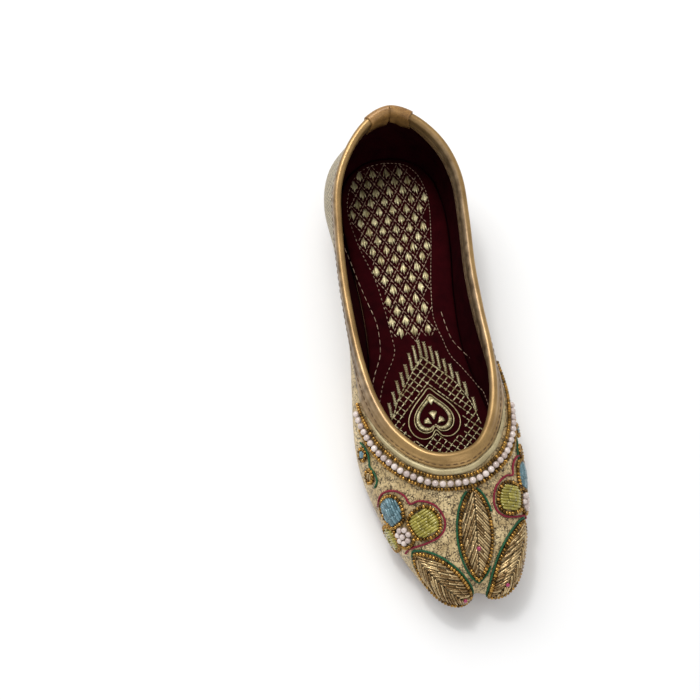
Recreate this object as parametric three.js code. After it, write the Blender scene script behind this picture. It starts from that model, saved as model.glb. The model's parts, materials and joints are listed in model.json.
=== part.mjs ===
import * as THREE from 'three';

// A right-foot mojari shoe. Sizes are in millimetres. s runs forward from the back of the heel,
// +X is the big-toe side, the toe points along -Y, +Z is up and z = 0 is the floor.

// Sole and heel
const SOLE_THICK = 4.5;        // leather outsole
const HEEL_HEIGHT = 6;         // the sole's underside above the floor, at the heel
const ARCH_START = 60;         // s where the sole starts down from the heel
const ARCH_END = 150;          // s where it reaches the floor
const TOE_START = 195;         // s where the toe starts to spring up
const TOE_SPRING = 5;          // rise of the toe's tip
const TOE_RUN = 50;            // length of the sprung part
const LIFT_FRONT = 56;         // s of the heel lift's front edge
const SOLE_INSET = 1.2;        // the sole's edge, inside the feather edge
const TOE_INSET = 4.5;         // extra inset of the sole under the pinched toe
const TOE_INSET_ROWS = 1.1;    // its half width, in section rows
const EDGE_ROUND = 0.8;        // broken edge along the sole's bottom

// Upper
const WALL = 2.2;              // leather, tissue facing and velvet lining together
const GAP = 0.3;               // clearance between neighbouring pieces
const TOE_DRIFT = 5.5;         // how far the toe swings to the big-toe side
const DRIFT_START = 120;       // s where that swing starts
const DRIFT_END = 245;         // s where it is complete
const NOTCH_DEPTH = 6;         // the pinched crease in the toe's tip
const NOTCH_WIDTH = 0.45;      // its half width, in section rows
const NOTCH_FALL = 0.35;       // how far up the profile it reaches, as a share

// Sock, binding and heel tab
const SOCK_THICK = 4;          // padded insole
const SOCK_TOE_CLEAR = 8.6;    // extra clearance behind the pinched toe
const BIND_THICK = 0.9;        // the folded leather strip around the collar
const BIND_LEG = 5.5;          // how far it runs down each side of the wall
const TAB_THICK = 0.8;         // the leather tab over the heel's binding
const TAB_HALF = 0.78;         // half width of the tab, in section rows (about 10 mm)
const TAB_INNER = 10;          // tab length down the inside
const TAB_OUTER = 20;          // tab length down the outside
const TAB_STEP = 6.6;          // distance from the rim where the tab steps down off the binding

// Mesh steps
const STEPS = 5;               // stations per section row around the shoe
const PROFILE = 10;            // spans from feather edge to rim
const TAB_SPANS = 8;           // spans across the tab

// One row for each section from heel to toe.
//   edgeS, edgeIn, edgeOut   feather edge: distance from the heel, half widths (big-toe side, little-toe side)
//   rimS, rimIn, rimOut      collar rim: the same
//   rimZ                     height of the rim
//   riseLen, leanIn, leanOut the wall's start at the feather edge: handle length, outward lean in degrees
//   rimLen, rimLean          the wall's end at the rim: handle length, inward lean in degrees
const COLUMNS = ['edgeS', 'edgeIn', 'edgeOut', 'rimS', 'rimIn', 'rimOut', 'rimZ',
  'riseLen', 'leanIn', 'leanOut', 'rimLen', 'rimLean'];
const SECTIONS = [
  [5, 0, 0, 7.5, 0, 0, 59.5, 22, 14, 14, 18, 6],
  [8.5, 14, 14, 12.5, 12.5, 12.5, 58.5, 22, 15, 22, 18, 6],
  [20, 24.5, 25, 26, 24.2, 24, 55.5, 22, 15, 38, 17, 6],
  [39, 28.5, 29, 43, 30.2, 31.5, 51, 21, 15, 40, 16, 6],
  [62, 28, 28.5, 64, 30.8, 34, 45.5, 17, 16, 30, 15, 5],
  [89, 25, 26.5, 88, 29.7, 35, 41, 14, 17, 20, 14, 6],
  [117, 24.5, 27, 110, 29.9, 34.5, 38.5, 13, 20, 23, 14, 9],
  [145, 29.5, 33, 131, 30.4, 33, 37.5, 13, 22, 27, 15, 18],
  [173, 35, 37.5, 150, 28.5, 30, 38.5, 13, 18, 20, 18, 35],
  [198, 33.5, 34, 166, 23.5, 24.5, 40.5, 14, 13, 13, 24, 49],
  [222, 28, 26.5, 178, 16, 16, 43, 15, 10, 10, 30, 58],
  [243, 17, 15, 183.5, 8, 8, 44.5, 16, 9, 9, 36, 64],
  [247, 0, 0, 185, 0, 0, 45, 15, 5, 5, 36, 66],
].map((row) => Object.fromEntries(row.map((value, k) => [COLUMNS[k], value])));
const TOE_ROW = SECTIONS.length - 1;

const UP = new THREE.Vector3(0, 0, 1);
const radians = (degrees) => degrees * Math.PI / 180;
const clamp = (v, low, high) => Math.min(high, Math.max(low, v));

function smooth(a, b, v) {
  const t = clamp((v - a) / (b - a), 0, 1);
  return t * t * (3 - 2 * t);
}

// Height of the outsole's underside at s.
function soleBottom(s) {
  const spring = clamp((s - TOE_START) / TOE_RUN, 0, 1.2);
  return HEEL_HEIGHT * (1 - smooth(ARCH_START, ARCH_END, s)) + TOE_SPRING * spring * spring;
}

// Sideways swing of the shoe's centre line at s.
function drift(s) {
  const t = clamp((s - DRIFT_START) / (DRIFT_END - DRIFT_START), 0, 1.2);
  return TOE_DRIFT * t * t;
}

// The sections as one closed loop: heel, little-toe side, toe, big-toe side.
function loopRow(row, side) {
  const outer = side < 0;
  return {
    edgeX: side * (outer ? row.edgeOut : row.edgeIn),
    edgeS: row.edgeS,
    rimX: side * (outer ? row.rimOut : row.rimIn),
    rimS: row.rimS,
    rimZ: row.rimZ,
    riseLen: row.riseLen,
    lean: outer ? row.leanOut : row.leanIn,
    rimLen: row.rimLen,
    rimLean: row.rimLean,
  };
}
const LOOP = [
  ...SECTIONS.map((row) => loopRow(row, -1)),
  ...SECTIONS.slice(1, TOE_ROW).reverse().map((row) => loopRow(row, 1)),
];
const KEYS = Object.keys(LOOP[0]);

// Section values at any u around the loop, through every row (closed Catmull-Rom).
function sectionAt(u) {
  const n = LOOP.length;
  const i = Math.floor(u);
  const f = u - i;
  const rows = [-1, 0, 1, 2].map((k) => LOOP[(((i + k) % n) + n) % n]);
  const out = {};
  for (const key of KEYS) {
    const [a, b, c, d] = rows.map((row) => row[key]);
    out[key] = 0.5 * (2 * b + (c - a) * f + (2 * a - 5 * b + 4 * c - d) * f * f
      + (3 * b - a - 3 * c + d) * f * f * f);
  }
  return out;
}

// The feather edge at u, without the toe's notch.
function edgeAt(u) {
  const row = sectionAt(u);
  const z = soleBottom(row.edgeS) + SOLE_THICK + GAP;
  return new THREE.Vector3(row.edgeX + drift(row.edgeS), -row.edgeS, z);
}

// The level direction at u that points into the shoe.
function inwardAt(u) {
  const along = edgeAt(u + 0.05).sub(edgeAt(u - 0.05)).setZ(0).normalize();
  return new THREE.Vector3().crossVectors(UP, along);
}

// A point on the upper's outer face: u runs around the shoe, t from feather edge (0) to rim (1).
function surfaceAt(u, t) {
  const row = sectionAt(u);
  const inward = inwardAt(u);
  const lean = radians(row.lean);
  const rimLean = radians(row.rimLean);
  const start = edgeAt(u);
  const end = new THREE.Vector3(row.rimX + drift(row.rimS), -row.rimS, row.rimZ);
  const rise = start.clone()
    .addScaledVector(UP, row.riseLen * Math.cos(lean))
    .addScaledVector(inward, -row.riseLen * Math.sin(lean));
  const fall = end.clone()
    .addScaledVector(UP, -row.rimLen * Math.cos(rimLean))
    .addScaledVector(inward, -row.rimLen * Math.sin(rimLean));
  const point = new THREE.CubicBezierCurve3(start, rise, fall, end).getPoint(t);
  const away = (u - TOE_ROW) / NOTCH_WIDTH;
  const notch = NOTCH_DEPTH * Math.exp(-away * away - (t / NOTCH_FALL) ** 2);
  return point.addScaledVector(inward, notch);
}

// The upper's outward normal at (u, t).
function normalAt(u, t) {
  const around = surfaceAt(u + 0.05, t).sub(surfaceAt(u - 0.05, t));
  const low = Math.max(0, t - 0.01);
  const rising = surfaceAt(u, Math.min(1, t + 0.01)).sub(surfaceAt(u, low));
  return around.cross(rising).normalize();
}

// A point at a distance outside (+) or inside (-) the outer face.
function offsetAt(u, t, distance) {
  return surfaceAt(u, t).addScaledVector(normalAt(u, t), distance);
}

// The profile share t that lies a given length below the rim, at u.
function shareBelowRim(u, length) {
  const spans = 80;
  let done = 0;
  let last = surfaceAt(u, 1);
  for (let k = 1; k <= spans; k += 1) {
    const t = 1 - k / spans;
    const point = surfaceAt(u, t);
    const step = point.distanceTo(last);
    if (done + step >= length) return t + (1 - (length - done) / step) / spans;
    done += step;
    last = point;
  }
  return 0;
}

// A closed solid from points and triangles.
function solid(points, triangles) {
  const geometry = new THREE.BufferGeometry();
  const flat = points.flatMap((p) => [p.x, p.y, p.z]);
  geometry.setAttribute('position', new THREE.Float32BufferAttribute(flat, 3));
  geometry.setIndex(triangles);
  geometry.computeVertexNormals();
  return geometry;
}

// Joins rings of equal size into a solid: closed end to end, or capped with end fans.
function sweep(rings, closed) {
  const size = rings[0].length;
  const points = rings.flat();
  const triangles = [];
  const spans = closed ? rings.length : rings.length - 1;
  for (let i = 0; i < spans; i += 1) {
    const a = i * size;
    const b = ((i + 1) % rings.length) * size;
    for (let j = 0; j < size; j += 1) {
      const k = (j + 1) % size;
      triangles.push(a + j, b + j, b + k, a + j, b + k, a + k);
    }
  }
  if (!closed) {
    // The ends are U-shaped, so each is capped as a ladder between its two faces.
    const last = (rings.length - 1) * size;
    for (let j = 0; j < size / 2 - 1; j += 1) {
      const far = size - 1 - j;
      triangles.push(j, j + 1, far - 1, j, far - 1, far);
      triangles.push(last + j, last + far - 1, last + j + 1, last + j, last + far, last + far - 1);
    }
  }
  return solid(points, triangles);
}

const STATIONS = LOOP.length * STEPS;
const stationU = (i) => i / STEPS;

// The upper: outer face, inner face, rim and feather edge, as one closed ring per station.
function upperGeometry() {
  const rings = [];
  for (let i = 0; i < STATIONS; i += 1) {
    const u = stationU(i);
    const ring = [];
    for (let j = 0; j <= PROFILE; j += 1) ring.push(surfaceAt(u, j / PROFILE));
    for (let j = PROFILE; j > 0; j -= 1) ring.push(offsetAt(u, j / PROFILE, -WALL));
    const foot = WALL / Math.cos(radians(sectionAt(u).lean));
    ring.push(surfaceAt(u, 0).addScaledVector(inwardAt(u), foot));
    rings.push(ring);
  }
  return sweep(rings, true);
}

// A strip folded over the rim: near and far are its distances off the wall's faces.
function foldedRing(u, near, far, outside, inside) {
  const middle = offsetAt(u, 1, -WALL / 2);
  const normal = normalAt(u, 1);
  const rising = surfaceAt(u, 1).sub(surfaceAt(u, 0.98)).normalize();
  const half = WALL / 2;
  const arc = (radius, degrees) => middle.clone()
    .addScaledVector(normal, radius * Math.cos(radians(degrees)))
    .addScaledVector(rising, radius * Math.sin(radians(degrees)));
  const down = (length, distance) => offsetAt(u, shareBelowRim(u, length), distance);
  const faces = [
    ...[...outside].reverse().map(([length, lift]) => [length, lift, 1]),
    ...[0, 45, 90, 135, 180].map((degrees) => [degrees]),
    ...inside.map(([length, lift]) => [length, lift, -1]),
  ];
  const at = (row, off) => {
    if (row.length === 1) return arc(half + off, row[0]);
    const [length, lift, side] = row;
    return down(length, side > 0 ? off - lift : lift - off - WALL);
  };
  const outer = faces.map((row) => at(row, far));
  const inner = faces.map((row) => at(row, near));
  return [...outer, ...inner.reverse()];
}

function bindingGeometry() {
  const legs = [[BIND_LEG / 2, 0], [BIND_LEG, 0]];
  const rings = [];
  for (let i = 0; i < STATIONS; i += 1) {
    rings.push(foldedRing(stationU(i), GAP, GAP + BIND_THICK, legs, legs));
  }
  return sweep(rings, true);
}

function tabGeometry() {
  const off = GAP + BIND_THICK + GAP;
  const drop = off - GAP;
  const legs = (length) => [[BIND_LEG / 2, 0], [TAB_STEP, 0], [TAB_STEP + 1.6, drop], [length, drop]];
  const rings = [];
  for (let k = 0; k <= TAB_SPANS; k += 1) {
    const u = TAB_HALF * (2 * k / TAB_SPANS - 1);
    rings.push(foldedRing(u, off, off + TAB_THICK, legs(TAB_OUTER), legs(TAB_INNER)));
  }
  return sweep(rings, false);
}

// A slab between levels. Each level is a function of u that gives one point of its outline;
// the outline's two sides are joined across, from heel to toe.
function slabGeometry(levels, count) {
  const points = [];
  const triangles = [];
  const half = count / 2;
  for (const level of levels) {
    for (let i = 0; i < count; i += 1) points.push(level(i));
  }
  for (let layer = 0; layer + 1 < levels.length; layer += 1) {
    for (let i = 0; i < count; i += 1) {
      const k = (i + 1) % count;
      const low = layer * count;
      const high = low + count;
      triangles.push(low + i, low + k, high + k, low + i, high + k, high + i);
    }
  }
  const top = (levels.length - 1) * count;
  const other = (i) => (count - i) % count;
  for (let i = 0; i < half; i += 1) {
    const [a, b, c, d] = [i, i + 1, other(i + 1), other(i)];
    if (a !== d) triangles.push(a, d, b, top + a, top + b, top + d);
    if (b !== c) triangles.push(b, d, c, top + b, top + c, top + d);
  }
  return solid(points, triangles);
}

// The outline of the feather edge, moved in by a distance and set to a height above the sole line.
function outlineAt(u, inset, rise) {
  const point = edgeAt(u).addScaledVector(inwardAt(u), inset);
  return point.setZ(soleBottom(-point.y) + rise);
}

function outsoleGeometry() {
  const level = (inset, rise) => (i) => {
    const u = stationU(i);
    const away = (u - TOE_ROW) / TOE_INSET_ROWS;
    return outlineAt(u, inset + TOE_INSET * Math.exp(-away * away), rise);
  };
  return slabGeometry([
    level(SOLE_INSET + EDGE_ROUND, 0),
    level(SOLE_INSET, EDGE_ROUND),
    level(SOLE_INSET, SOLE_THICK),
  ], STATIONS);
}

// The sock follows the upper's inner face, and ends behind the pinched toe.
function sockGeometry() {
  const level = (rise) => (i) => {
    const u = stationU(i);
    const lean = radians(sectionAt(u).lean);
    const away = (u - TOE_ROW) / 1.2;
    const toe = SOCK_TOE_CLEAR * Math.exp(-away * away);
    const inset = WALL / Math.cos(lean) + 2 * GAP + toe - rise * Math.tan(lean) * 0.75;
    return outlineAt(u, inset, SOLE_THICK + GAP + rise);
  };
  return slabGeometry([level(0), level(SOCK_THICK * 0.6), level(SOCK_THICK)], STATIONS);
}

// The heel lift follows the sole's heel, and ends at a straight front edge.
function liftGeometry() {
  const reach = 3.9;             // section rows from the heel's centre to the front edge
  const spans = 15;
  const count = spans * 4;
  const level = (inset, z) => (i) => {
    const side = i <= 2 * spans ? 1 : -1;
    const step = side > 0 ? i : count - i;
    const front = clamp(step - spans, 0, spans) / spans;
    const u = reach * Math.min(step, spans) / spans * side;
    const point = edgeAt(u).addScaledVector(inwardAt(u), SOLE_INSET + inset);
    point.y = Math.max(point.y, -LIFT_FRONT);
    point.x *= 1 - front;
    return point.setZ(z);
  };
  return slabGeometry([level(1.4, 0), level(0.4, HEEL_HEIGHT - GAP)], count);
}

function addPiece(parent, name, geometry, colour, roughness, metalness) {
  const material = new THREE.MeshStandardMaterial({ color: colour, roughness, metalness });
  const mesh = new THREE.Mesh(geometry, material);
  mesh.name = name;
  parent.add(mesh);
  return mesh;
}

const shoe = new THREE.Group();
addPiece(shoe, 'outsole', outsoleGeometry(), '#9a6a3f', 0.75, 0);
addPiece(shoe, 'heel_lift', liftGeometry(), '#7d5230', 0.75, 0);
addPiece(shoe, 'insole', sockGeometry(), '#4a0f1c', 0.95, 0);
addPiece(shoe, 'upper', upperGeometry(), '#c9b78e', 0.55, 0);
addPiece(shoe, 'collar_binding', bindingGeometry(), '#c39a62', 0.45, 0);
addPiece(shoe, 'heel_tab', tabGeometry(), '#c08a54', 0.5, 0);

// The origin is the middle of the shoe's footprint, on the floor.
const box = new THREE.Box3().setFromObject(shoe);
const centre = box.getCenter(new THREE.Vector3());
shoe.position.set(-centre.x, -centre.y, -box.min.z);

const group = new THREE.Group();
group.add(shoe);

export default group;
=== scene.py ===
"""A right-foot mojari shoe: beaded tissue upper, gilt collar binding and embroidered velvet sock."""
import json
import logging
import math
from dataclasses import dataclass, field
from enum import Enum

import bpy
import numpy as np
from mathutils import Matrix, Vector

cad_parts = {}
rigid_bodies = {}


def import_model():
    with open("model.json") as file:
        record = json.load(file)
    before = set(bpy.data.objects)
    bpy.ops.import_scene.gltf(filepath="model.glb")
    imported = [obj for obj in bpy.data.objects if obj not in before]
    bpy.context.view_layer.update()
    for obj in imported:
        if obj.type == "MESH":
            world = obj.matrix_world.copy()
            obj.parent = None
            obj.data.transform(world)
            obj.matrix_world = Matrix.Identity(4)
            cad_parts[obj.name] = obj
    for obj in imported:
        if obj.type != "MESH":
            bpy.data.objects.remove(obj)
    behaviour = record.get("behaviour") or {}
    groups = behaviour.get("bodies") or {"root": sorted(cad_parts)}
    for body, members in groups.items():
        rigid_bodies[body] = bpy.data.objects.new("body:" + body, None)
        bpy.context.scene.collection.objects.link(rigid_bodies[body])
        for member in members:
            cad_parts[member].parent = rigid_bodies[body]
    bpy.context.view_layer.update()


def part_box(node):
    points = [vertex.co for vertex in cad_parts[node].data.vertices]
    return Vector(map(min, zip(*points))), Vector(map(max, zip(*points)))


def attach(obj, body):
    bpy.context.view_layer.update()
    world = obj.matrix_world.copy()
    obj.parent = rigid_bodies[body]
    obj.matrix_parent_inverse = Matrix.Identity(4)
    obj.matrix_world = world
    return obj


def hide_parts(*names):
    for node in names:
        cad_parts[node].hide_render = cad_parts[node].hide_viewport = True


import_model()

MM = 0.001
UP = np.array([0.0, 0.0, 1.0])
log = logging.getLogger("mojari")


# ---------------------------------------------------------------- small helpers

def linear(hex_colour: str, alpha: float = 1.0) -> tuple[float, float, float, float]:
    """Turns an sRGB hex colour to linear values.

    Args:
        hex_colour: Six hex digits, such as "C8A469".
        alpha: Opacity.

    Returns:
        Linear red, green, blue and alpha.
    """
    raw = [int(hex_colour[i:i + 2], 16) / 255 for i in (0, 2, 4)]
    out = [c / 12.92 if c <= 0.04045 else ((c + 0.055) / 1.055) ** 2.4 for c in raw]
    return out[0], out[1], out[2], alpha


def unit(v: np.ndarray) -> np.ndarray:
    """Scales vectors along the last axis to length one."""
    return v / np.maximum(np.linalg.norm(v, axis=-1, keepdims=True), 1e-12)


def turned(points: np.ndarray, degrees: float) -> np.ndarray:
    """Turns flat points about their origin, from the first axis towards the second.

    Args:
        points: Pairs, one row each.
        degrees: How far they turn.

    Returns:
        The turned points.
    """
    k = math.radians(degrees)
    c, s = math.cos(k), math.sin(k)
    return np.asarray(points, float) @ np.array([[c, s], [-s, c]])


def smooth_line(points: np.ndarray, step: float, closed: bool = False) -> np.ndarray:
    """Draws a smooth line through points, evenly stepped.

    Args:
        points: Points the line passes through, of any dimension.
        step: Distance between the points given back.
        closed: Whether the line ends where it starts.

    Returns:
        The stepped points, without a repeated last point if closed.
    """
    p = np.asarray(points, float)
    n = len(p)
    spans = n if closed else n - 1
    out = []
    for i in range(spans):
        pick = [(i + k) % n if closed else min(max(i + k, 0), n - 1) for k in (-1, 0, 1, 2)]
        a, b, c, d = (p[j] for j in pick)
        for f in np.arange(0, 1, 1 / 16):
            out.append(0.5 * (2 * b + (c - a) * f + (2 * a - 5 * b + 4 * c - d) * f ** 2
                              + (3 * b - a - 3 * c + d) * f ** 3))
    out.append(p[0] if closed else p[-1])
    return evenly(np.array(out), step, closed)


def evenly(line: np.ndarray, step: float, closed: bool = False) -> np.ndarray:
    """Steps a polyline evenly. A closed one has its first point again at its end on entry.

    Args:
        line: The polyline's points.
        step: The wanted spacing.
        closed: Whether the line is closed.

    Returns:
        The evenly spaced points.
    """
    length = np.concatenate([[0], np.cumsum(np.linalg.norm(np.diff(line, axis=0), axis=1))])
    count = max(2, int(round(length[-1] / step)))
    at = np.linspace(0, length[-1], count + 1)
    out = np.stack([np.interp(at, length, line[:, k]) for k in range(line.shape[1])], 1)
    return out[:-1] if closed else out


def select_only(obj: bpy.types.Object | None) -> None:
    """Deselects everything, then selects and activates one object if it is given.

    Args:
        obj: The object, if any.
    """
    for other in bpy.context.view_layer.objects:
        other.select_set(False)
    bpy.context.view_layer.objects.active = obj
    if obj is not None:
        obj.select_set(True)


def new_primitive(name: str, operator: object, **settings: object) -> bpy.types.Object:
    """Adds a primitive with nothing else selected, and names it.

    Args:
        name: The object's name.
        operator: The primitive's add operator.
        settings: The operator's settings.

    Returns:
        The new object.
    """
    select_only(None)
    operator(**settings)
    obj = bpy.context.active_object
    obj.name = name
    obj.data.name = name
    return obj


def move_points(obj: bpy.types.Object, points: np.ndarray) -> None:
    """Puts a mesh's points where they belong, given in millimetres, with the object at the origin.

    Args:
        obj: The mesh object.
        points: One place for each of its points, in millimetres.
    """
    obj.matrix_world = Matrix.Identity(4)
    obj.data.vertices.foreach_set("co", (np.asarray(points) * MM).astype(np.float32).ravel())
    obj.data.update()


def edit_all(obj: bpy.types.Object, *steps: tuple[object, dict]) -> None:
    """Runs edit-mode operators one after another, each on the whole mesh.

    Args:
        obj: The mesh object, left as the only one selected.
        steps: Each operator with its settings.
    """
    select_only(obj)
    bpy.ops.object.mode_set(mode="EDIT")
    for operator, settings in steps:
        bpy.ops.mesh.select_all(action="SELECT")
        operator(**settings)
    bpy.ops.object.mode_set(mode="OBJECT")


def tidy_mesh(obj: bpy.types.Object, fill: bool = False) -> None:
    """Merges doubled points and turns all faces outward.

    Args:
        obj: The mesh object.
        fill: Whether its open ends are closed.
    """
    closing = [(bpy.ops.mesh.fill_holes, {"sides": 0})] if fill else []
    edit_all(obj, (bpy.ops.mesh.remove_doubles, {"threshold": 1e-6}), *closing,
             (bpy.ops.mesh.normals_make_consistent, {"inside": False}))
    bpy.ops.object.shade_smooth()


def lofted(name: str, rings: np.ndarray, closed: bool, uv: np.ndarray | None = None,
           crest: np.ndarray | None = None) -> bpy.types.Object:
    """Lofts a solid through rings of points, starting from a grid primitive.

    Args:
        name: The piece's name.
        rings: Array of ring, point and coordinate, in millimetres; each ring is a closed section.
        closed: Whether the last ring joins the first; otherwise both ends are filled.
        uv: A UV pair for each ring and point, in millimetres, or None. A closed loft's has one more
            ring, where the first is met again.
        crest: A share for each ring and point, kept as the attribute "crest", or None.

    Returns:
        The finished object.
    """
    wide = np.concatenate([rings, rings[:, :1]], 1)
    if closed:
        wide = np.concatenate([wide, wide[:1]], 0)
    rows, columns = wide.shape[:2]
    obj = new_primitive(name, bpy.ops.mesh.primitive_grid_add, x_subdivisions=columns - 1,
                        y_subdivisions=rows - 1, size=1)
    move_points(obj, wide.reshape(-1, 3))
    if uv is not None:
        put_uv(obj, np.concatenate([uv, uv[:, :1]], 1).reshape(-1, 2))
    if crest is not None:
        share = np.concatenate([crest, crest[:, :1]], 1)
        put_share(obj, "crest", np.concatenate([share, share[:1]])[:rows].ravel())
    tidy_mesh(obj, fill=not closed)
    return obj


def put_uv(obj: bpy.types.Object, pairs: np.ndarray) -> None:
    """Stores one UV pair for each point of a mesh, in metres.

    Args:
        obj: The mesh object.
        pairs: One pair for each of its points, in millimetres.
    """
    layer = obj.data.uv_layers.active or obj.data.uv_layers.new(name="UVMap")
    corner = np.zeros(len(obj.data.loops), np.int32)
    obj.data.loops.foreach_get("vertex_index", corner)
    layer.data.foreach_set("uv", (pairs[corner] * MM).astype(np.float32).ravel())


def put_share(obj: bpy.types.Object, name: str, values: np.ndarray) -> None:
    """Stores one number for each point of a mesh, for its material to read."""
    layer = obj.data.attributes.new(name, "FLOAT", "POINT")
    layer.data.foreach_set("value", np.asarray(values, np.float32))


def threads(name: str, lines: list[np.ndarray], radius: float, taper: bool = False,
            sides: int = 1) -> bpy.types.Object:
    """Makes many thin threads as one mesh.

    Args:
        name: The piece's name.
        lines: Centre lines, in millimetres.
        radius: Thread radius in millimetres.
        taper: Whether each thread narrows to its ends, as a satin stitch does.
        sides: Bevel steps; 1 gives six sides.

    Returns:
        The mesh object.
    """
    data = bpy.data.curves.new(name, "CURVE")
    data.dimensions = "3D"
    data.bevel_depth = radius * MM
    data.bevel_resolution = sides
    for line in lines:
        spline = data.splines.new("POLY")
        spline.points.add(len(line) - 1)
        co = np.concatenate([np.asarray(line) * MM, np.ones((len(line), 1))], 1)
        spline.points.foreach_set("co", co.astype(np.float32).ravel())
        if taper:
            f = np.linspace(-1, 1, len(line))
            spline.points.foreach_set("radius", (0.35 + 0.65 * np.sqrt(1 - f * f)).astype(np.float32))
    obj = bpy.data.objects.new(name, data)
    bpy.context.scene.collection.objects.link(obj)
    select_only(obj)
    bpy.ops.object.convert(target="MESH")
    obj = bpy.context.active_object
    obj.name = name
    edit_all(obj, (bpy.ops.mesh.fill_holes, {"sides": 0}))
    bpy.ops.object.shade_smooth()
    tones = np.random.default_rng(len(lines)).random(len(lines))
    around = len(obj.data.vertices) // sum(len(line) for line in lines)
    put_share(obj, "tone", np.repeat(tones, [len(line) * around for line in lines]))
    return obj


class BeadShape(Enum):
    """The kinds of bead sewn on the upper."""

    SEED = "seed"
    PEARL = "pearl"


def beads(name: str, shape: BeadShape, places: np.ndarray, normals: np.ndarray, along: np.ndarray,
          sizes: tuple[float, float, float]) -> bpy.types.Object:
    """Copies one modelled bead to many places and joins the copies.

    Args:
        name: The piece's name.
        shape: The bead's kind.
        places: Bead centres in millimetres.
        normals: The surface's outward direction at each bead.
        along: The thread's direction at each bead.
        sizes: Bead length along the thread, width across it and height, in millimetres.

    Returns:
        The joined mesh object.
    """
    segments, rings = (8, 6) if shape is BeadShape.SEED else (10, 7)
    one = new_primitive("bead_master", bpy.ops.mesh.primitive_uv_sphere_add, segments=segments,
                        ring_count=rings, radius=0.5)
    co = np.array([v.co for v in one.data.vertices])
    if shape is BeadShape.SEED:
        # A seed bead is a short rounded tube, so its ends are flatter than a ball's.
        co[:, 2] = np.sign(co[:, 2]) * np.minimum(np.abs(co[:, 2]) * 1.25, 0.5)
    faces = [tuple(p.vertices) for p in one.data.polygons]
    bpy.data.objects.remove(one)
    x = unit(along)
    z = unit(normals - x * (normals * x).sum(1, keepdims=True))
    y = np.cross(z, x)
    local = co[None, :, :]
    pts = (places[:, None] + x[:, None] * local[..., 2:3] * sizes[0]
           + y[:, None] * local[..., 0:1] * sizes[1] + z[:, None] * local[..., 1:2] * sizes[2])
    count, size = len(places), len(co)
    # Over a thousand copies are joined as one mesh here, because joining that many objects takes minutes.
    mesh = bpy.data.meshes.new(name)
    everyone = [tuple(i + k * size for i in face) for k in range(count) for face in faces]
    mesh.from_pydata((pts.reshape(-1, 3) * MM).tolist(), [], everyone)
    obj = bpy.data.objects.new(name, mesh)
    bpy.context.scene.collection.objects.link(obj)
    edit_all(obj, (bpy.ops.mesh.normals_make_consistent, {"inside": False}))
    bpy.ops.object.shade_smooth()
    put_share(obj, "tone", np.repeat(np.random.default_rng(count).random(count), size))
    return obj


# ---------------------------------------------------------------- finishes

def node(tree: bpy.types.NodeTree, kind: str, settings: dict | None = None,
         links: dict | None = None) -> bpy.types.Node:
    """Adds one node with its settings and links.

    Args:
        tree: The material's node tree.
        kind: The node's type name, such as "ShaderNodeMix".
        settings: Attribute names and values; an integer or "Name" input key after "in:" sets an input.
        links: Input name or number to the output socket that feeds it.

    Returns:
        The new node.
    """
    made = tree.nodes.new(kind)
    for key, value in (settings or {}).items():
        if key.startswith("in:"):
            slot = key[3:]
            made.inputs[int(slot) if slot.isdigit() else slot].default_value = value
        else:
            setattr(made, key, value)
    for key, socket in (links or {}).items():
        tree.links.new(socket, made.inputs[key])
    return made


def ramp(tree: bpy.types.NodeTree, source: bpy.types.NodeSocket,
         stops: list[tuple[float, str]]) -> bpy.types.Node:
    """Adds a colour ramp through (place, hex colour) stops.

    Args:
        tree: The material's node tree.
        source: The value that drives the ramp.
        stops: The places and their colours.

    Returns:
        The ramp's node.
    """
    made = node(tree, "ShaderNodeValToRGB", links={"Fac": source})
    bar = made.color_ramp.elements
    while len(bar) < len(stops):
        bar.new(0.5)
    for element, (place, colour) in zip(bar, stops):
        element.position = place
        element.color = linear(colour)
    return made


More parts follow.
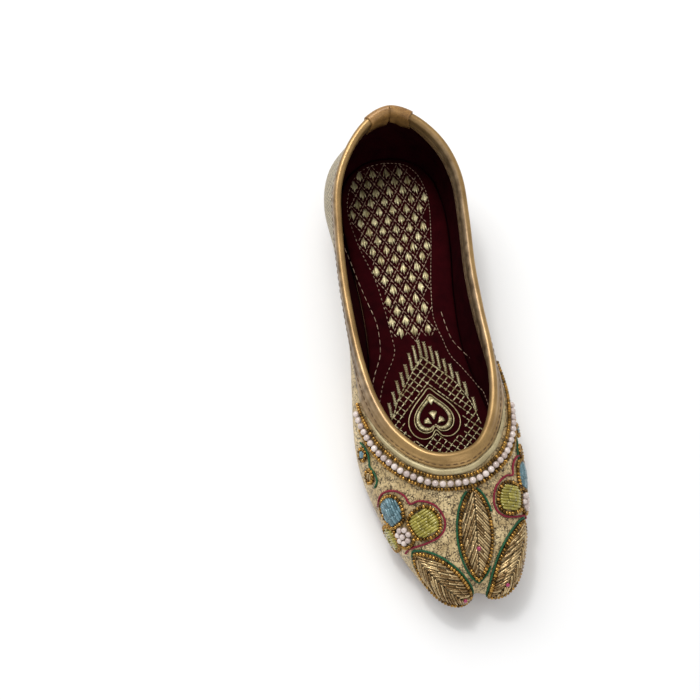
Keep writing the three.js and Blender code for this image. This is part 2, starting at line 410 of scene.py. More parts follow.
@dataclass(frozen=True)
class Finish:
    """A material with a mottled colour, a fine surface pattern and a bump.

    Attributes:
        name: The real material's name.
        dark: Hex colour of its hollows.
        light: Hex colour of its high spots.
        roughness: Typical roughness.
        metallic: Metal share.
        grain_mm: Size of the fine pattern.
        mottle_mm: Size of the slow colour change.
        bump: Strength of the bump.
        sheen: Sheen weight, for pile and cloth.
        coat: Clear coat weight.
        ior: Index of refraction.
        tone: How much one bead or strand differs from the next.
    """

    name: str
    dark: str
    light: str
    roughness: float
    metallic: float = 0.0
    grain_mm: float = 0.5
    mottle_mm: float = 8.0
    bump: float = 0.2
    sheen: float = 0.0
    coat: float = 0.0
    ior: float = 1.5
    tone: float = 0.0

    def shader(self) -> tuple[bpy.types.Material, bpy.types.NodeTree, bpy.types.Node]:
        """Starts the material and returns it with its tree and its main shader.

        Returns:
            The material, its node tree and its main shader.
        """
        material = bpy.data.materials.new(self.name)
        material.use_nodes = True
        tree = material.node_tree
        tree.nodes.clear()
        main = node(tree, "ShaderNodeBsdfPrincipled", {
            "in:Roughness": self.roughness, "in:Metallic": self.metallic,
            "in:Sheen Weight": self.sheen, "in:Coat Weight": self.coat, "in:IOR": self.ior})
        node(tree, "ShaderNodeOutputMaterial", links={"Surface": main.outputs[0]})
        return material, tree, main

    def place(self, tree: bpy.types.NodeTree, use_uv: bool = False) -> bpy.types.NodeSocket:
        """Gives the pattern's coordinates in millimetres.

        Args:
            tree: The material's node tree.
            use_uv: Whether the UV map is used, and not object space.

        Returns:
            The coordinates' socket.
        """
        source = node(tree, "ShaderNodeTexCoord").outputs["UV" if use_uv else "Object"]
        made = node(tree, "ShaderNodeMapping", {"in:Scale": (1000, 1000, 1000)}, {"Vector": source})
        return made.outputs[0]

    def build(self) -> bpy.types.Material:
        """Builds the plain form: two colours mixed by slow mottle and fine grain, with a bump.

        Returns:
            The material.
        """
        material, tree, main = self.shader()
        at = self.place(tree)
        slow = node(tree, "ShaderNodeTexNoise", {"in:Scale": 1 / self.mottle_mm, "in:Detail": 3.0},
                    {"Vector": at})
        fine = node(tree, "ShaderNodeTexNoise", {"in:Scale": 1 / self.grain_mm, "in:Detail": 2.0},
                    {"Vector": at})
        both = node(tree, "ShaderNodeMix", {"in:Factor": 0.45},
                    {"A": slow.outputs["Fac"], "B": fine.outputs["Fac"]})
        level = both.outputs[0]
        if self.tone:
            piece = node(tree, "ShaderNodeAttribute", {"attribute_name": "tone"})
            apart = node(tree, "ShaderNodeMath", {"operation": "MULTIPLY_ADD", "in:1": self.tone,
                                                  "in:2": -self.tone / 2}, {0: piece.outputs["Fac"]})
            level = node(tree, "ShaderNodeMath", {"operation": "ADD"},
                         {0: level, 1: apart.outputs[0]}).outputs[0]
        colour = ramp(tree, level, [(0.3, self.dark), (0.7, self.light)])
        tree.links.new(colour.outputs[0], main.inputs["Base Color"])
        bump = node(tree, "ShaderNodeBump", {"in:Strength": self.bump, "in:Distance": 0.0002},
                    {"Height": fine.outputs["Fac"]})
        tree.links.new(bump.outputs[0], main.inputs["Normal"])
        return material


@dataclass(frozen=True)
class Velvet(Finish):
    """Short cotton velvet: a dark ground whose pile catches light at grazing angles."""

    tint: str = "6A1626"

    def build(self) -> bpy.types.Material:
        """Adds a soft sheen over the slow dark-and-light mottle of its colour.

        Returns:
            The material.
        """
        material = super().build()
        main = next(n for n in material.node_tree.nodes if n.type == "BSDF_PRINCIPLED")
        main.inputs["Sheen Roughness"].default_value = 0.35
        main.inputs["Sheen Tint"].default_value = linear(self.tint)
        main.inputs["Specular IOR Level"].default_value = 0.05
        return material


@dataclass(frozen=True)
class RolledLeather(Finish):
    """Gilt leather: tan gold on its rolled crest, with painted reflection and shade in mauve-grey on its flat
    legs.
    """

    shaded_leg_dark: str = "64523E"
    shaded_leg_light: str = "A0896C"

    def build(self) -> bpy.types.Material:
        """Mixes the legs' mauve-grey of painted reflection and shade in, away from the crest.

        Returns:
            The material.
        """
        material = super().build()
        tree = material.node_tree
        main = next(n for n in tree.nodes if n.type == "BSDF_PRINCIPLED")
        gold = main.inputs["Base Color"].links[0].from_socket
        at = self.place(tree)
        streak = node(tree, "ShaderNodeTexNoise", {"in:Scale": 0.22, "in:Detail": 3.0}, {"Vector": at})
        # The legs' mauve-grey is painted reflection and shade.
        leg_shade = ramp(tree, streak.outputs["Fac"], [(0.35, self.shaded_leg_dark), (0.65, self.shaded_leg_light)])
        crest = node(tree, "ShaderNodeAttribute", {"attribute_name": "crest"})
        both = node(tree, "ShaderNodeMix", {"data_type": "RGBA"},
                    {0: crest.outputs["Fac"], 6: leg_shade.outputs[0], 7: gold})
        tree.links.new(both.outputs[2], main.inputs["Base Color"])
        return material


@dataclass(frozen=True)
class CrackledTissue(Finish):
    """Gilt tissue over leather: a bright metallic ground crossed by fine dark broken threads.

    Attributes:
        crack: Hex colour of the broken dark threads.
        quarter_dark: Hex colour of the plainer woven tissue behind the bead rows.
        quarter_light: Its lighter thread.
    """

    crack: str = "3A2812"
    quarter_dark: str = "5C523E"
    quarter_light: str = "B2A17B"

    def build(self) -> bpy.types.Material:
        """Mixes the crackled field with the woven quarters by the mesh's vamp_share attribute.

        Returns:
            The material.
        """
        material, tree, main = self.shader()
        at = self.place(tree)
        uv = self.place(tree, use_uv=True)
        wobble = node(tree, "ShaderNodeTexNoise", {"in:Scale": 0.9, "in:Detail": 2.0}, {"Vector": at})
        pushed = node(tree, "ShaderNodeVectorMath", {"operation": "MULTIPLY_ADD",
                                                     "in:1": (1.6, 1.6, 1.6)},
                      {0: wobble.outputs["Color"], 2: at})
        cells = node(tree, "ShaderNodeTexVoronoi", {"feature": "DISTANCE_TO_EDGE",
                                                    "in:Scale": 1 / self.grain_mm},
                     {"Vector": pushed.outputs[0]})
        gaps = node(tree, "ShaderNodeTexNoise", {"in:Scale": 0.55, "in:Detail": 3.0}, {"Vector": at})
        line = node(tree, "ShaderNodeMapRange", {"in:From Min": 0.04, "in:From Max": 0.19,
                                                 "in:To Min": 1.0, "in:To Max": 0.0},
                    {"Value": cells.outputs["Distance"]})
        broken = node(tree, "ShaderNodeMapRange", {"in:From Min": 0.38, "in:From Max": 0.54},
                      {"Value": gaps.outputs["Fac"]})
        crack = node(tree, "ShaderNodeMath", {"operation": "MULTIPLY"},
                     {0: line.outputs[0], 1: broken.outputs[0]})
        slow = node(tree, "ShaderNodeTexNoise", {"in:Scale": 1 / self.mottle_mm, "in:Detail": 3.0},
                    {"Vector": at})
        ground = ramp(tree, slow.outputs["Fac"], [(0.35, self.dark), (0.65, self.light)])
        field_colour = node(tree, "ShaderNodeMix", {"data_type": "RGBA", "in:7": linear(self.crack)},
                            {0: crack.outputs[0], 6: ground.outputs[0]})
        weave = node(tree, "ShaderNodeTexWave", {"wave_type": "BANDS", "bands_direction": "DIAGONAL",
                                                 "in:Scale": 0.34, "in:Distortion": 3.0,
                                                 "in:Detail": 1.0}, {"Vector": uv})
        flakes = node(tree, "ShaderNodeTexNoise", {"in:Scale": 0.7, "in:Detail": 2.0}, {"Vector": at})
        brocade = node(tree, "ShaderNodeMix", {"in:Factor": 0.6},
                       {"A": weave.outputs["Fac"], "B": flakes.outputs["Fac"]})
        quarter = ramp(tree, brocade.outputs[0], [(0.3, self.quarter_dark), (0.7, self.quarter_light)])
        split = node(tree, "ShaderNodeAttribute", {"attribute_name": "vamp_share"})
        colour = node(tree, "ShaderNodeMix", {"data_type": "RGBA"},
                      {0: split.outputs["Fac"], 6: quarter.outputs[0], 7: field_colour.outputs[2]})
        tree.links.new(colour.outputs[2], main.inputs["Base Color"])
        fine = node(tree, "ShaderNodeTexNoise", {"in:Scale": 2.2, "in:Detail": 2.0}, {"Vector": at})
        height = node(tree, "ShaderNodeMath", {"operation": "SUBTRACT"},
                      {0: fine.outputs["Fac"], 1: crack.outputs[0]})
        bump = node(tree, "ShaderNodeBump", {"in:Strength": self.bump, "in:Distance": 0.0002},
                    {"Height": height.outputs[0]})
        tree.links.new(bump.outputs[0], main.inputs["Normal"])
        rough = node(tree, "ShaderNodeMapRange", {"in:To Min": self.roughness - 0.12,
                                                  "in:To Max": self.roughness + 0.14},
                     {"Value": fine.outputs["Fac"]})
        tree.links.new(rough.outputs[0], main.inputs["Roughness"])
        return material


# Pearlised gilt sheepskin, rolled over the collar: tan gold on the crest, mauve-grey painted reflection and
# shade on its legs.
BINDING_LEATHER = RolledLeather("gilt_sheepskin", "7A5C32", "BE9A62", 0.3, 0.5, 0.35, 14.0, 0.1)
# Undyed tan goat leather, polished and stained with use.
TAB_LEATHER = Finish("tan_goatskin", "6B4A24", "B98C50", 0.4, 0.15, 0.6, 3.5, 0.3)
# Vegetable-tanned buffalo sole leather, matte with a tight grain.
SOLE_LEATHER = Finish("sole_leather_buffalo", "6A4526", "94683C", 0.7, 0.0, 0.6, 12.0, 0.3)
LIFT_LEATHER = Finish("stacked_leather_lift", "4E301C", "765030", 0.7, 0.0, 0.6, 9.0, 0.3)
# Burgundy cotton velvet for lining and sock: nearly black where it turns from the light.
LINING_VELVET = Velvet("burgundy_lining_velvet", "140002", "2C0207", 0.9, 0.0, 0.3, 6.0, 0.3, sheen=0.04)
SOCK_VELVET = Velvet("burgundy_sock_velvet", "1A0003", "360409", 0.9, 0.0, 0.3, 7.0, 0.3, sheen=0.04)
# Gilt tissue facing: cream gold, its metal worn to fine dark crackle.
TISSUE = CrackledTissue("gilt_tissue", "B69C6C", "E6CE9C", 0.38, 0.3, 1.3, 9.0, 0.45)
# Padded cream-gilt roll inside the first bead row.
ROLL_TISSUE = Finish("cream_gilt_tissue", "8C7C58", "C4B68C", 0.4, 0.3, 0.5, 6.0, 0.2)
# Brass-plated glass seed beads: dark between beads, bright at the top.
SEED_BRASS = Finish("antique_brass_beads", "553C18", "BC9048", 0.16, 0.9, 0.9, 2.5, 0.1, tone=0.5)
# Dyed plastic pearls with a pink-white coat.
PEARL = Finish("pearl_coat", "B4A199", "E6D8D0", 0.2, 0.0, 0.8, 3.0, 0.05, coat=0.7, tone=0.35)
# Cut silver-gilt glass strands: smoky gold that flashes where a facet meets the light.
STRAND = Finish("silver_gilt_strand", "7C5F38", "D2B888", 0.18, 0.7, 0.9, 3.0, 0.15, tone=0.5)
BLUE_BUGLE = Finish("blue_satin_glass", "3E6068", "7396A0", 0.2, 0.15, 0.9, 3.0, 0.1, coat=0.6, tone=0.4)
LIME_BUGLE = Finish("lime_satin_glass", "7C7020", "AEA244", 0.2, 0.15, 0.9, 3.0, 0.1, coat=0.6, tone=0.4)
RUBY = Finish("ruby_glass", "7E0E40", "B41E60", 0.12, 0.0, 0.8, 2.0, 0.05, coat=0.8)
# Mercerised cotton cords.
GREEN_CORD = Finish("green_cotton_cord", "003A22", "02643A", 0.6, 0.0, 0.3, 3.0, 0.3)
CRIMSON_CORD = Finish("crimson_cotton_cord", "640020", "980430", 0.6, 0.0, 0.3, 3.0, 0.3)
# Gilt embroidery thread, flattened metal round silk; the lattice is couched with an older, mauve-grey gilt,
# which the panel's borders also take as painted shade.
ZARI = Finish("zari_thread", "948357", "E2D8AC", 0.32, 0.5, 0.4, 3.0, 0.2, tone=0.4)
LATTICE_ZARI = Finish("mauve_zari_thread", "846A58", "BEA68C", 0.36, 0.5, 0.4, 3.0, 0.2, tone=0.3)
STITCH = Finish("brown_stitch_thread", "3C2812", "6E4E26", 0.55, 0.1, 0.3, 3.0, 0.2)


def dress(obj: bpy.types.Object, finish: Finish, slot: str, *stands_for: str) -> bpy.types.Object:
    """Gives a piece its finish and its place in the frame.

    Args:
        obj: The piece.
        finish: Its finish; each is built once.
        slot: The record's material slot; not used.
        stands_for: CAD nodes that the piece replaces.

    Returns:
        The piece.
    """
    material = bpy.data.materials.get(finish.name) or finish.build()
    obj.data.materials.clear()
    obj.data.materials.append(material)
    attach(obj, "root")
    if stands_for:
        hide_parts(*stands_for)
    log.info("%s: %d faces, %s", obj.name, len(obj.data.polygons), finish.name)
    return obj


# ---------------------------------------------------------------- the shoe's form

@dataclass
class Last:
    """The form that the shoe is built on, in millimetres.

    s runs forward from the back of the heel, and u runs round the shoe in section rows: 0 at the heel,
    12 at the toe by the little-toe side, and back to 24. t runs up the upper from feather edge to rim.

    Attributes:
        sections: A row for each section: feather edge s and half widths (big-toe, little-toe side),
            rim s, half widths and height, rise length, outward lean on either side, rim length and lean.
        wall: The upper's thickness.
        gap: Clearance between pieces.
        sole: The outsole's thickness.
        toe: The section row at the toe.
        rows: Section rows round the shoe.
    """

    sections: tuple = (
        (5, 0, 0, 7.5, 0, 0, 59.5, 22, 14, 14, 18, 6),
        (8.5, 14, 14, 12.5, 12.5, 12.5, 58.5, 22, 15, 22, 18, 6),
        (20, 24.5, 25, 26, 24.2, 24, 55.5, 22, 15, 38, 17, 6),
        (39, 28.5, 29, 43, 30.2, 31.5, 51, 21, 15, 40, 16, 6),
        (62, 28, 28.5, 64, 30.8, 34, 45.5, 17, 16, 30, 15, 5),
        (89, 25, 26.5, 88, 29.7, 35, 41, 14, 17, 20, 14, 6),
        (117, 24.5, 27, 110, 29.9, 34.5, 38.5, 13, 20, 23, 14, 9),
        (145, 29.5, 33, 131, 30.4, 33, 37.5, 13, 22, 27, 15, 18),
        (173, 35, 37.5, 150, 28.5, 30, 38.5, 13, 18, 20, 18, 35),
        (198, 33.5, 34, 166, 23.5, 24.5, 40.5, 14, 13, 13, 24, 49),
        (222, 28, 26.5, 178, 16, 16, 43, 15, 10, 10, 30, 58),
        (243, 17, 15, 183.5, 8, 8, 44.5, 16, 9, 9, 36, 64),
        (247, 0, 0, 185, 0, 0, 45, 15, 5, 5, 36, 66),
    )
    wall: float = 2.2
    gap: float = 0.3
    sole: float = 4.5
    toe: int = 12
    rows: int = 24
    loop: np.ndarray = field(init=False)
    shift: np.ndarray = field(init=False)

    def __post_init__(self) -> None:
        """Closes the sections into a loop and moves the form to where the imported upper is."""
        table = np.array(self.sections, float)
        little = np.stack([-table[:, 2], table[:, 0], -table[:, 5], table[:, 3], table[:, 6],
                           table[:, 7], table[:, 9], table[:, 10], table[:, 11]], 1)
        big = np.stack([table[:, 1], table[:, 0], table[:, 4], table[:, 3], table[:, 6],
                        table[:, 7], table[:, 8], table[:, 10], table[:, 11]], 1)
        self.loop = np.concatenate([little, big[-2:0:-1]])
        self.shift = np.zeros(3)
        u, t = np.meshgrid(np.arange(0, 24, 0.2), np.linspace(0, 1, 11), indexing="ij")
        raw = self.point(u, t).reshape(-1, 3)
        low, high = (np.array(c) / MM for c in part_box("upper"))
        self.shift = (low + high - raw.min(0) - raw.max(0)) / 2
        self.shift[2] = 0.0

    @staticmethod
    def sole_line(s: np.ndarray) -> np.ndarray:
        """Height of the outsole's underside at s: raised heel, arch, flat tread and toe spring.

        Args:
            s: Distance from the heel.

        Returns:
            The height, in millimetres.
        """
        t = np.clip((np.asarray(s, float) - 60) / 90, 0, 1)
        spring = np.clip((np.asarray(s, float) - 195) / 50, 0, 1.2)
        return 6.0 * (1 - t * t * (3 - 2 * t)) + 5.0 * spring ** 2

    @staticmethod
    def drift(s: np.ndarray) -> np.ndarray:
        """Sideways swing of the centre line towards the big toe at s."""
        return 5.5 * np.clip((np.asarray(s, float) - 120) / 125, 0, 1.2) ** 2

    def section(self, u: np.ndarray) -> np.ndarray:
        """Section values at u, through every row.

        Args:
            u: Place round the shoe.

        Returns:
            The interpolated section values.
        """
        u = np.asarray(u, float)
        i = np.floor(u).astype(int)
        f = (u - i)[..., None]
        a, b, c, d = (self.loop[(i + k) % self.rows] for k in (-1, 0, 1, 2))
        return 0.5 * (2 * b + (c - a) * f + (2 * a - 5 * b + 4 * c - d) * f ** 2
                      + (3 * b - a - 3 * c + d) * f ** 3)

    def edge(self, u: np.ndarray) -> np.ndarray:
        """The feather edge at u, without the toe's pinch.

        Args:
            u: Place round the shoe.

        Returns:
            The points.
        """
        r = self.section(u)
        z = self.sole_line(r[..., 1]) + self.sole + self.gap
        return np.stack([r[..., 0] + self.drift(r[..., 1]), -r[..., 1], z], -1) + self.shift

    def inward(self, u: np.ndarray) -> np.ndarray:
        """The level direction at u that points into the shoe.

        Args:
            u: Place round the shoe.

        Returns:
            Unit vectors.
        """
        u = np.asarray(u, float)
        along = self.edge(u + 0.05) - self.edge(u - 0.05)
        along[..., 2] = 0
        return np.cross(UP, unit(along))

    def point(self, u: np.ndarray, t: np.ndarray) -> np.ndarray:
        """A point on the upper's outer face.

        Args:
            u: Place round the shoe.
            t: Share of the way from the feather edge to the rim.

        Returns:
            The points.
        """
        u, t = np.broadcast_arrays(np.asarray(u, float), np.asarray(t, float))
        r = self.section(u)
        h = self.inward(u)
        start = self.edge(u)
        end = np.stack([r[..., 2] + self.drift(r[..., 3]), -r[..., 3], r[..., 4]], -1) + self.shift
        lean, rim_lean = np.radians(r[..., 6, None]), np.radians(r[..., 8, None])
        rise = start + r[..., 5, None] * (UP * np.cos(lean) - h * np.sin(lean))
        fall = end - r[..., 7, None] * (UP * np.cos(rim_lean) + h * np.sin(rim_lean))
        f = t[..., None]
        p = ((1 - f) ** 3 * start + 3 * f * (1 - f) ** 2 * rise + 3 * f * f * (1 - f) * fall
             + f ** 3 * end)
        away = np.mod(u - self.toe + 12, 24) - 12
        notch = 6.0 * np.exp(-(away / 0.45) ** 2 - (t / 0.35) ** 2)
        # The tissue lies a little lower on the big-toe side, where the beads bring it back to size.
        sink = 1.2 / (1 + np.exp((np.abs(away - 1.9) - 1.7) / 0.25)) * np.clip((0.9 - t) / 0.3, 0, 1)
        return p + (notch + sink)[..., None] * h

    def normal(self, u: np.ndarray, t: np.ndarray) -> np.ndarray:
        """The upper's outward direction at (u, t).

        Args:
            u: Place round the shoe.
            t: Share of the way from the feather edge to the rim.

        Returns:
            Unit vectors.
        """
        u, t = np.asarray(u, float), np.asarray(t, float)
        around = self.point(u + 0.03, t) - self.point(u - 0.03, t)
        rising = self.point(u, t + 0.01) - self.point(u, t - 0.01)
        return unit(np.cross(around, rising))

    def lift(self, u: np.ndarray, t: np.ndarray, off: np.ndarray | float) -> np.ndarray:
        """A point at a distance off the outer face, outward if positive."""
        return self.point(u, t) + self.normal(u, t) * np.asarray(off, float)[..., None]

    def below(self, u: np.ndarray, drop: np.ndarray | float) -> np.ndarray:
        """The profile share t that lies drop below the rim.

        Args:
            u: Place round the shoe.
            drop: Distance down the profile from the rim, in millimetres.

        Returns:
            The shares t.
        """
        u, drop = np.broadcast_arrays(np.asarray(u, float), np.asarray(drop, float))
        ts = np.linspace(1, 0, 121)
        p = self.point(u[..., None], ts)
        steps = np.linalg.norm(np.diff(p, axis=-2), axis=-1)
        length = np.concatenate([np.zeros(u.shape + (1,)), np.cumsum(steps, -1)], -1)
        pairs = zip(length.reshape(-1, 121), drop.reshape(-1))
        return np.array([np.interp(d, l, ts) for l, d in pairs]).reshape(u.shape)

    def lay(self, place: tuple[float, float], turn: float, flat: np.ndarray,
            lift: float | np.ndarray = 0.0, steps: int = 20) -> tuple[np.ndarray, np.ndarray]:
        """Lays a flat pattern on the curved upper without stretching lines from its centre.

        Args:
            place: u and the drop below the rim where the pattern's origin goes.
            turn: Turn in degrees of the pattern's first axis from straight down the upper.
            flat: Pattern points (along, across) in millimetres.
            lift: Height off the surface for all points or for each.
            steps: Steps that each point's path is walked in.

        Returns:
            The points and the outward directions there.
        """
        flat = np.asarray(flat, float).reshape(-1, 2)
        u = np.full(len(flat), float(place[0]))
        t = np.full(len(flat), float(self.below(place[0], place[1])))
        down = unit(self.point(u, t - 0.01) - self.point(u, t + 0.01))
        n = self.normal(u, t)
        k = math.radians(turn)
        first = down * math.cos(k) + np.cross(n, down) * math.sin(k)
        second = np.cross(n, first)
        far = np.linalg.norm(flat, axis=1)
        way = unit(first * flat[:, :1] + second * flat[:, 1:] + first * 1e-9)
        p = self.point(u, t)
        for _ in range(steps):
            su = (self.point(u + 0.01, t) - p) / 0.01
            st = (self.point(u, t + 1e-3) - p) / 1e-3
            step = way * (far / steps)[:, None]
            g11, g12, g22 = (su * su).sum(1), (su * st).sum(1), (st * st).sum(1)
            b1, b2 = (step * su).sum(1), (step * st).sum(1)
            det = g11 * g22 - g12 ** 2
            u = u + (b1 * g22 - b2 * g12) / det
            t = np.clip(t + (b2 * g11 - b1 * g12) / det, -0.02, 1.05)
            p = self.point(u, t)
            n = self.normal(u, t)
            way = unit(way - n * (way * n).sum(1, keepdims=True))
        return p + n * np.broadcast_to(np.asarray(lift, float), (len(flat),))[:, None], n

    def outline(self, u: np.ndarray, inset: np.ndarray | float) -> np.ndarray:
        """The feather edge moved in by a distance, in plan."""
        return self.edge(u) + self.inward(u) * np.asarray(inset, float)[..., None]


# ---------------------------------------------------------------- upper, lining, collar

@dataclass
class Upper:
    """The upper's facing and its velvet lining, as two closed shells.

    Attributes:
        last: The form.
        facing: Thickness of leather and tissue together, in millimetres.
        stations: Sections round the shoe.
        rises: Points up the profile.
    """

    last: Last
    facing: float = 1.25
    stations: int = 384
    rises: int = 46

    def shell(self, name: str, outer: float, inner: float, stations: int, rises: int) -> bpy.types.Object:
        """Makes a closed shell between two distances off the outer face.

        Args:
            name: The object's name.
            outer: The outer side's distance off the face.
            inner: The inner side's distance, negative inward.
            stations: Rings round the shoe.
            rises: Points up each side of a ring.

        Returns:
            The closed shell.
        """
        u = np.arange(stations) * 24 / stations
        t = np.linspace(0, 1, rises)
        uu, tt = np.meshgrid(u, t, indexing="ij")
        lean = np.cos(np.radians(self.last.section(u)[:, 6]))[:, None]
        h = self.last.inward(u)
        faces = []
        for off in (outer, inner):
            p = self.last.lift(uu, tt, np.full(uu.shape, off))
            p[:, 0] = self.last.point(u, 0.0) - h * off / lean
            faces.append(p)
        rings = np.concatenate([faces[0], faces[1][:, ::-1]], 1)
        foot = np.concatenate([faces[0][:, 0], faces[0][:1, 0]])
        girth = np.concatenate([[0], np.cumsum(np.linalg.norm(np.diff(foot, axis=0), axis=1))])
        drop = np.linalg.norm(np.diff(faces[0], axis=1), axis=2)[:, ::-1].cumsum(1)[:, ::-1]
        drop = np.concatenate([drop, np.zeros((stations, 1))], 1)
        drop = np.concatenate([drop, drop[:1]])
        pair = np.stack([np.repeat(girth[:, None], rises, 1), drop], -1)
        return lofted(name, rings, True, np.concatenate([pair, pair[:, ::-1]], 1))

    def build(self) -> None:
        """Builds and dresses the facing and the lining."""
        facing = self.shell("upper_facing", 0.0, -self.facing, self.stations, self.rises)
        co = np.array([v.co for v in facing.data.vertices]) / MM - self.last.shift
        # The crackled field covers the vamp; the woven quarters start behind it.
        put_share(facing, "vamp_share", np.clip((-co[:, 1] - 114) / 14, 0, 1))
        dress(facing, TISSUE, "upper_tissue", "upper")
        lining = self.shell("velvet_lining", -self.facing - 0.05, -self.last.wall, 240, 30)
        dress(lining, LINING_VELVET, "sock_velvet")


@dataclass
class Collar:
    """The gilt binding rolled over the rim, its stitches, the padded roll and the heel tab.

    Attributes:
        last: The form.
        roll: Radius of the rolled edge, in millimetres.
        leg: Length of the binding down the outside.
        inner_leg: Its length down the inside.
        stitch_drop: Where the outer row of stitches runs, below the rim.
    """

    last: Last
    roll: float = 2.05
    leg: float = 5.4
    inner_leg: float = 6.4
    stitch_drop: float = 3.9

    def ring(self, u: np.ndarray, outer: list[tuple[float, float]], inner: list[tuple[float, float]],
             radius: float, sink: float) -> np.ndarray:
        """Sections of a strip folded over the rim.

        Args:
            u: Stations.
            outer: (drop, height off the outer face) down the outside, from the roll.
            inner: The same down the inside, off the inner face.
            radius: Radius of the fold.
            sink: How far the fold's centre lies below the rim.

        Returns:
            Rings of points: up the outside, over the fold and down the inside.
        """
        last = self.last
        middle = last.lift(u, np.ones_like(u), np.full(u.shape, -last.wall / 2))
        n = last.normal(u, np.ones_like(u))
        rising = unit(last.point(u, 1.0) - last.point(u, 0.985))
        out = [last.lift(u, last.below(u, d), np.full(u.shape, o)) for d, o in reversed(outer)]
        for degrees in range(0, 181, 18):
            k = math.radians(degrees)
            out.append(middle + n * radius * math.cos(k) + rising * (radius * math.sin(k) - sink))
        out += [last.lift(u, last.below(u, d), np.full(u.shape, -last.wall - o)) for d, o in inner]
        return np.stack(out, 1)

    def back_face(self, u: np.ndarray, length: float, inner_length: float, off: float) -> np.ndarray:
        """The strip's hidden face, close against the wall.

        Args:
            u: Places round the shoe.
            length: Length of the outer leg.
            inner_length: Length of the inner leg.
            off: Gap to the wall.

        Returns:
            The face's points at each place, from the inner leg's end.
        """
        last = self.last
        out = [last.lift(u, last.below(u, d), np.full(u.shape, off)) for d in (length, length * 0.5, 0.15)]
        out += [last.lift(u, last.below(u, d), np.full(u.shape, -last.wall - off))
                for d in (0.15, inner_length * 0.5, inner_length)]
        return np.stack(out, 1)[:, ::-1]

    def build(self) -> None:
        """Builds and dresses the collar's pieces."""
        last = self.last
        u = np.arange(384) * 24 / 384
        # The outer leg is cut wider where the quarters meet the vamp.
        wide = 2.6 * (np.exp(-((u - 7.9) / 0.75) ** 2) + np.exp(-((u - 16.1) / 0.75) ** 2))
        outer = [(1.7, 0.75), (2.3, 0.55), (2.9, 0.78), (self.stitch_drop - 0.35, 0.8),
                 (self.stitch_drop, 0.55), (self.stitch_drop + 0.35, 0.8),
                 (self.leg - 0.5 + wide, 0.72), (self.leg + wide, 0.3)]
        # On the big-toe side the inner leg is padded, so that it slopes into the shoe.
        pad = 1.9 / (1 + np.exp((np.abs(u - 19.6) - 3.3) / 0.3))
        inner = [(d, o + pad * d / 6.4) for d, o in
                 ((1.7, 0.8), (2.4, 0.45), (3.0, 0.75), (4.2, 0.78), (4.7, 0.5), (5.2, 0.74),
                  (self.inner_leg - 0.4, 0.65), (self.inner_leg, 0.25))]
        front = self.ring(u, outer, inner, self.roll, 0.35)
        back = self.back_face(u, self.leg - 0.1 + wide, self.inner_leg - 0.1, 0.08)
        # Gold keeps to the crest: the outside of it on the big-toe side, the inside on the other. Along the
        # sides, the leg faces turned towards the little-toe side get the mauve-grey of painted reflection and
        # shade.
        place = np.concatenate([np.linspace(-0.7, -0.1, 8), np.linspace(0, 1, 11), np.linspace(1.1, 1.7, 8),
                                np.linspace(1.7, -0.7, back.shape[1])])
        start = np.where(u < 12, 0.30, -0.1)[:, None]
        stop = np.where(u < 12, 1.3, 0.52)[:, None]
        away = np.abs(np.mod(u + 12, 24) - 12)
        side = (1 / (1 + np.exp((np.abs(away - 5.2) - 3.3) / 0.5)))[:, None]
        gold = 1 / (1 + np.exp(-(place - start) / 0.05)) / (1 + np.exp((place - stop) / 0.05))
        dress(lofted("collar_piping", np.concatenate([front, back], 1), True, crest=1 - side * (1 - gold)),
              BINDING_LEATHER, "binding_leather", "collar_binding")
        dress(threads("collar_stitches", self.stitches(), 0.24, taper=True), STITCH, "binding_leather")
        self.padded_roll()
        self.heel_tab()

    def stitches(self) -> list[np.ndarray]:
        """Short stitches along the outer leg and the inner leg.

        Returns:
            The stitches' lines.
        """
        last = self.last
        u = np.linspace(0, 24, 1600, endpoint=False)
        lines = []
        pad = 1.9 / (1 + np.exp((np.abs(u - 19.6) - 3.3) / 0.3))
        for drop, off in ((self.stitch_drop, np.full(u.shape, 0.78)),
                          (4.7, -last.wall - 0.72 - pad * 4.7 / 6.4)):
            path = last.lift(u, last.below(u, drop), off)
            path = evenly(np.concatenate([path, path[:1]]), 0.55, closed=True)
            for i in range(0, len(path) - 6, 6):
                lines.append(path[i:i + 5])
        return lines

    def padded_roll(self) -> None:
        """The narrow padded roll of cream tissue between the binding and the first bead row."""
        last = self.last
        u = np.linspace(8.0, 16.0, 220)
        share = np.sin(np.linspace(0.02, math.pi - 0.02, 220)) ** 0.5
        rings = []
        for a in np.linspace(0, 2 * math.pi, 16, endpoint=False):
            drop = 7.2 + 1.55 * share * math.cos(a)
            off = 0.15 + (0.95 if math.sin(a) > 0 else 0.1) * share * math.sin(a)
            rings.append(last.lift(u, last.below(u, drop), off))
        dress(lofted("throat_roll", np.stack(rings, 1), False), ROLL_TISSUE, "upper_tissue")

    def heel_tab(self) -> None:
        """The tan tab over the heel's binding: two halves that meet at a slit."""
        last = self.last
        halves = ((-0.86, -0.012, -1), (0.012, 0.92, 1))
        for start, end, side in halves:
            u = np.linspace(start, end, 26)
            share = np.clip((u - start) / (end - start), 0, 1)
            # The little-toe half is cut to a point; the other is square.
            length = 7.4 + (3.6 * (1 - np.abs(share - 0.35) / 0.65) if side < 0 else 3.2)
            rings = []
            middle = last.lift(u, np.ones_like(u), np.full(u.shape, -last.wall / 2))
            n = last.normal(u, np.ones_like(u))
            rising = unit(last.point(u, 1.0) - last.point(u, 0.985))
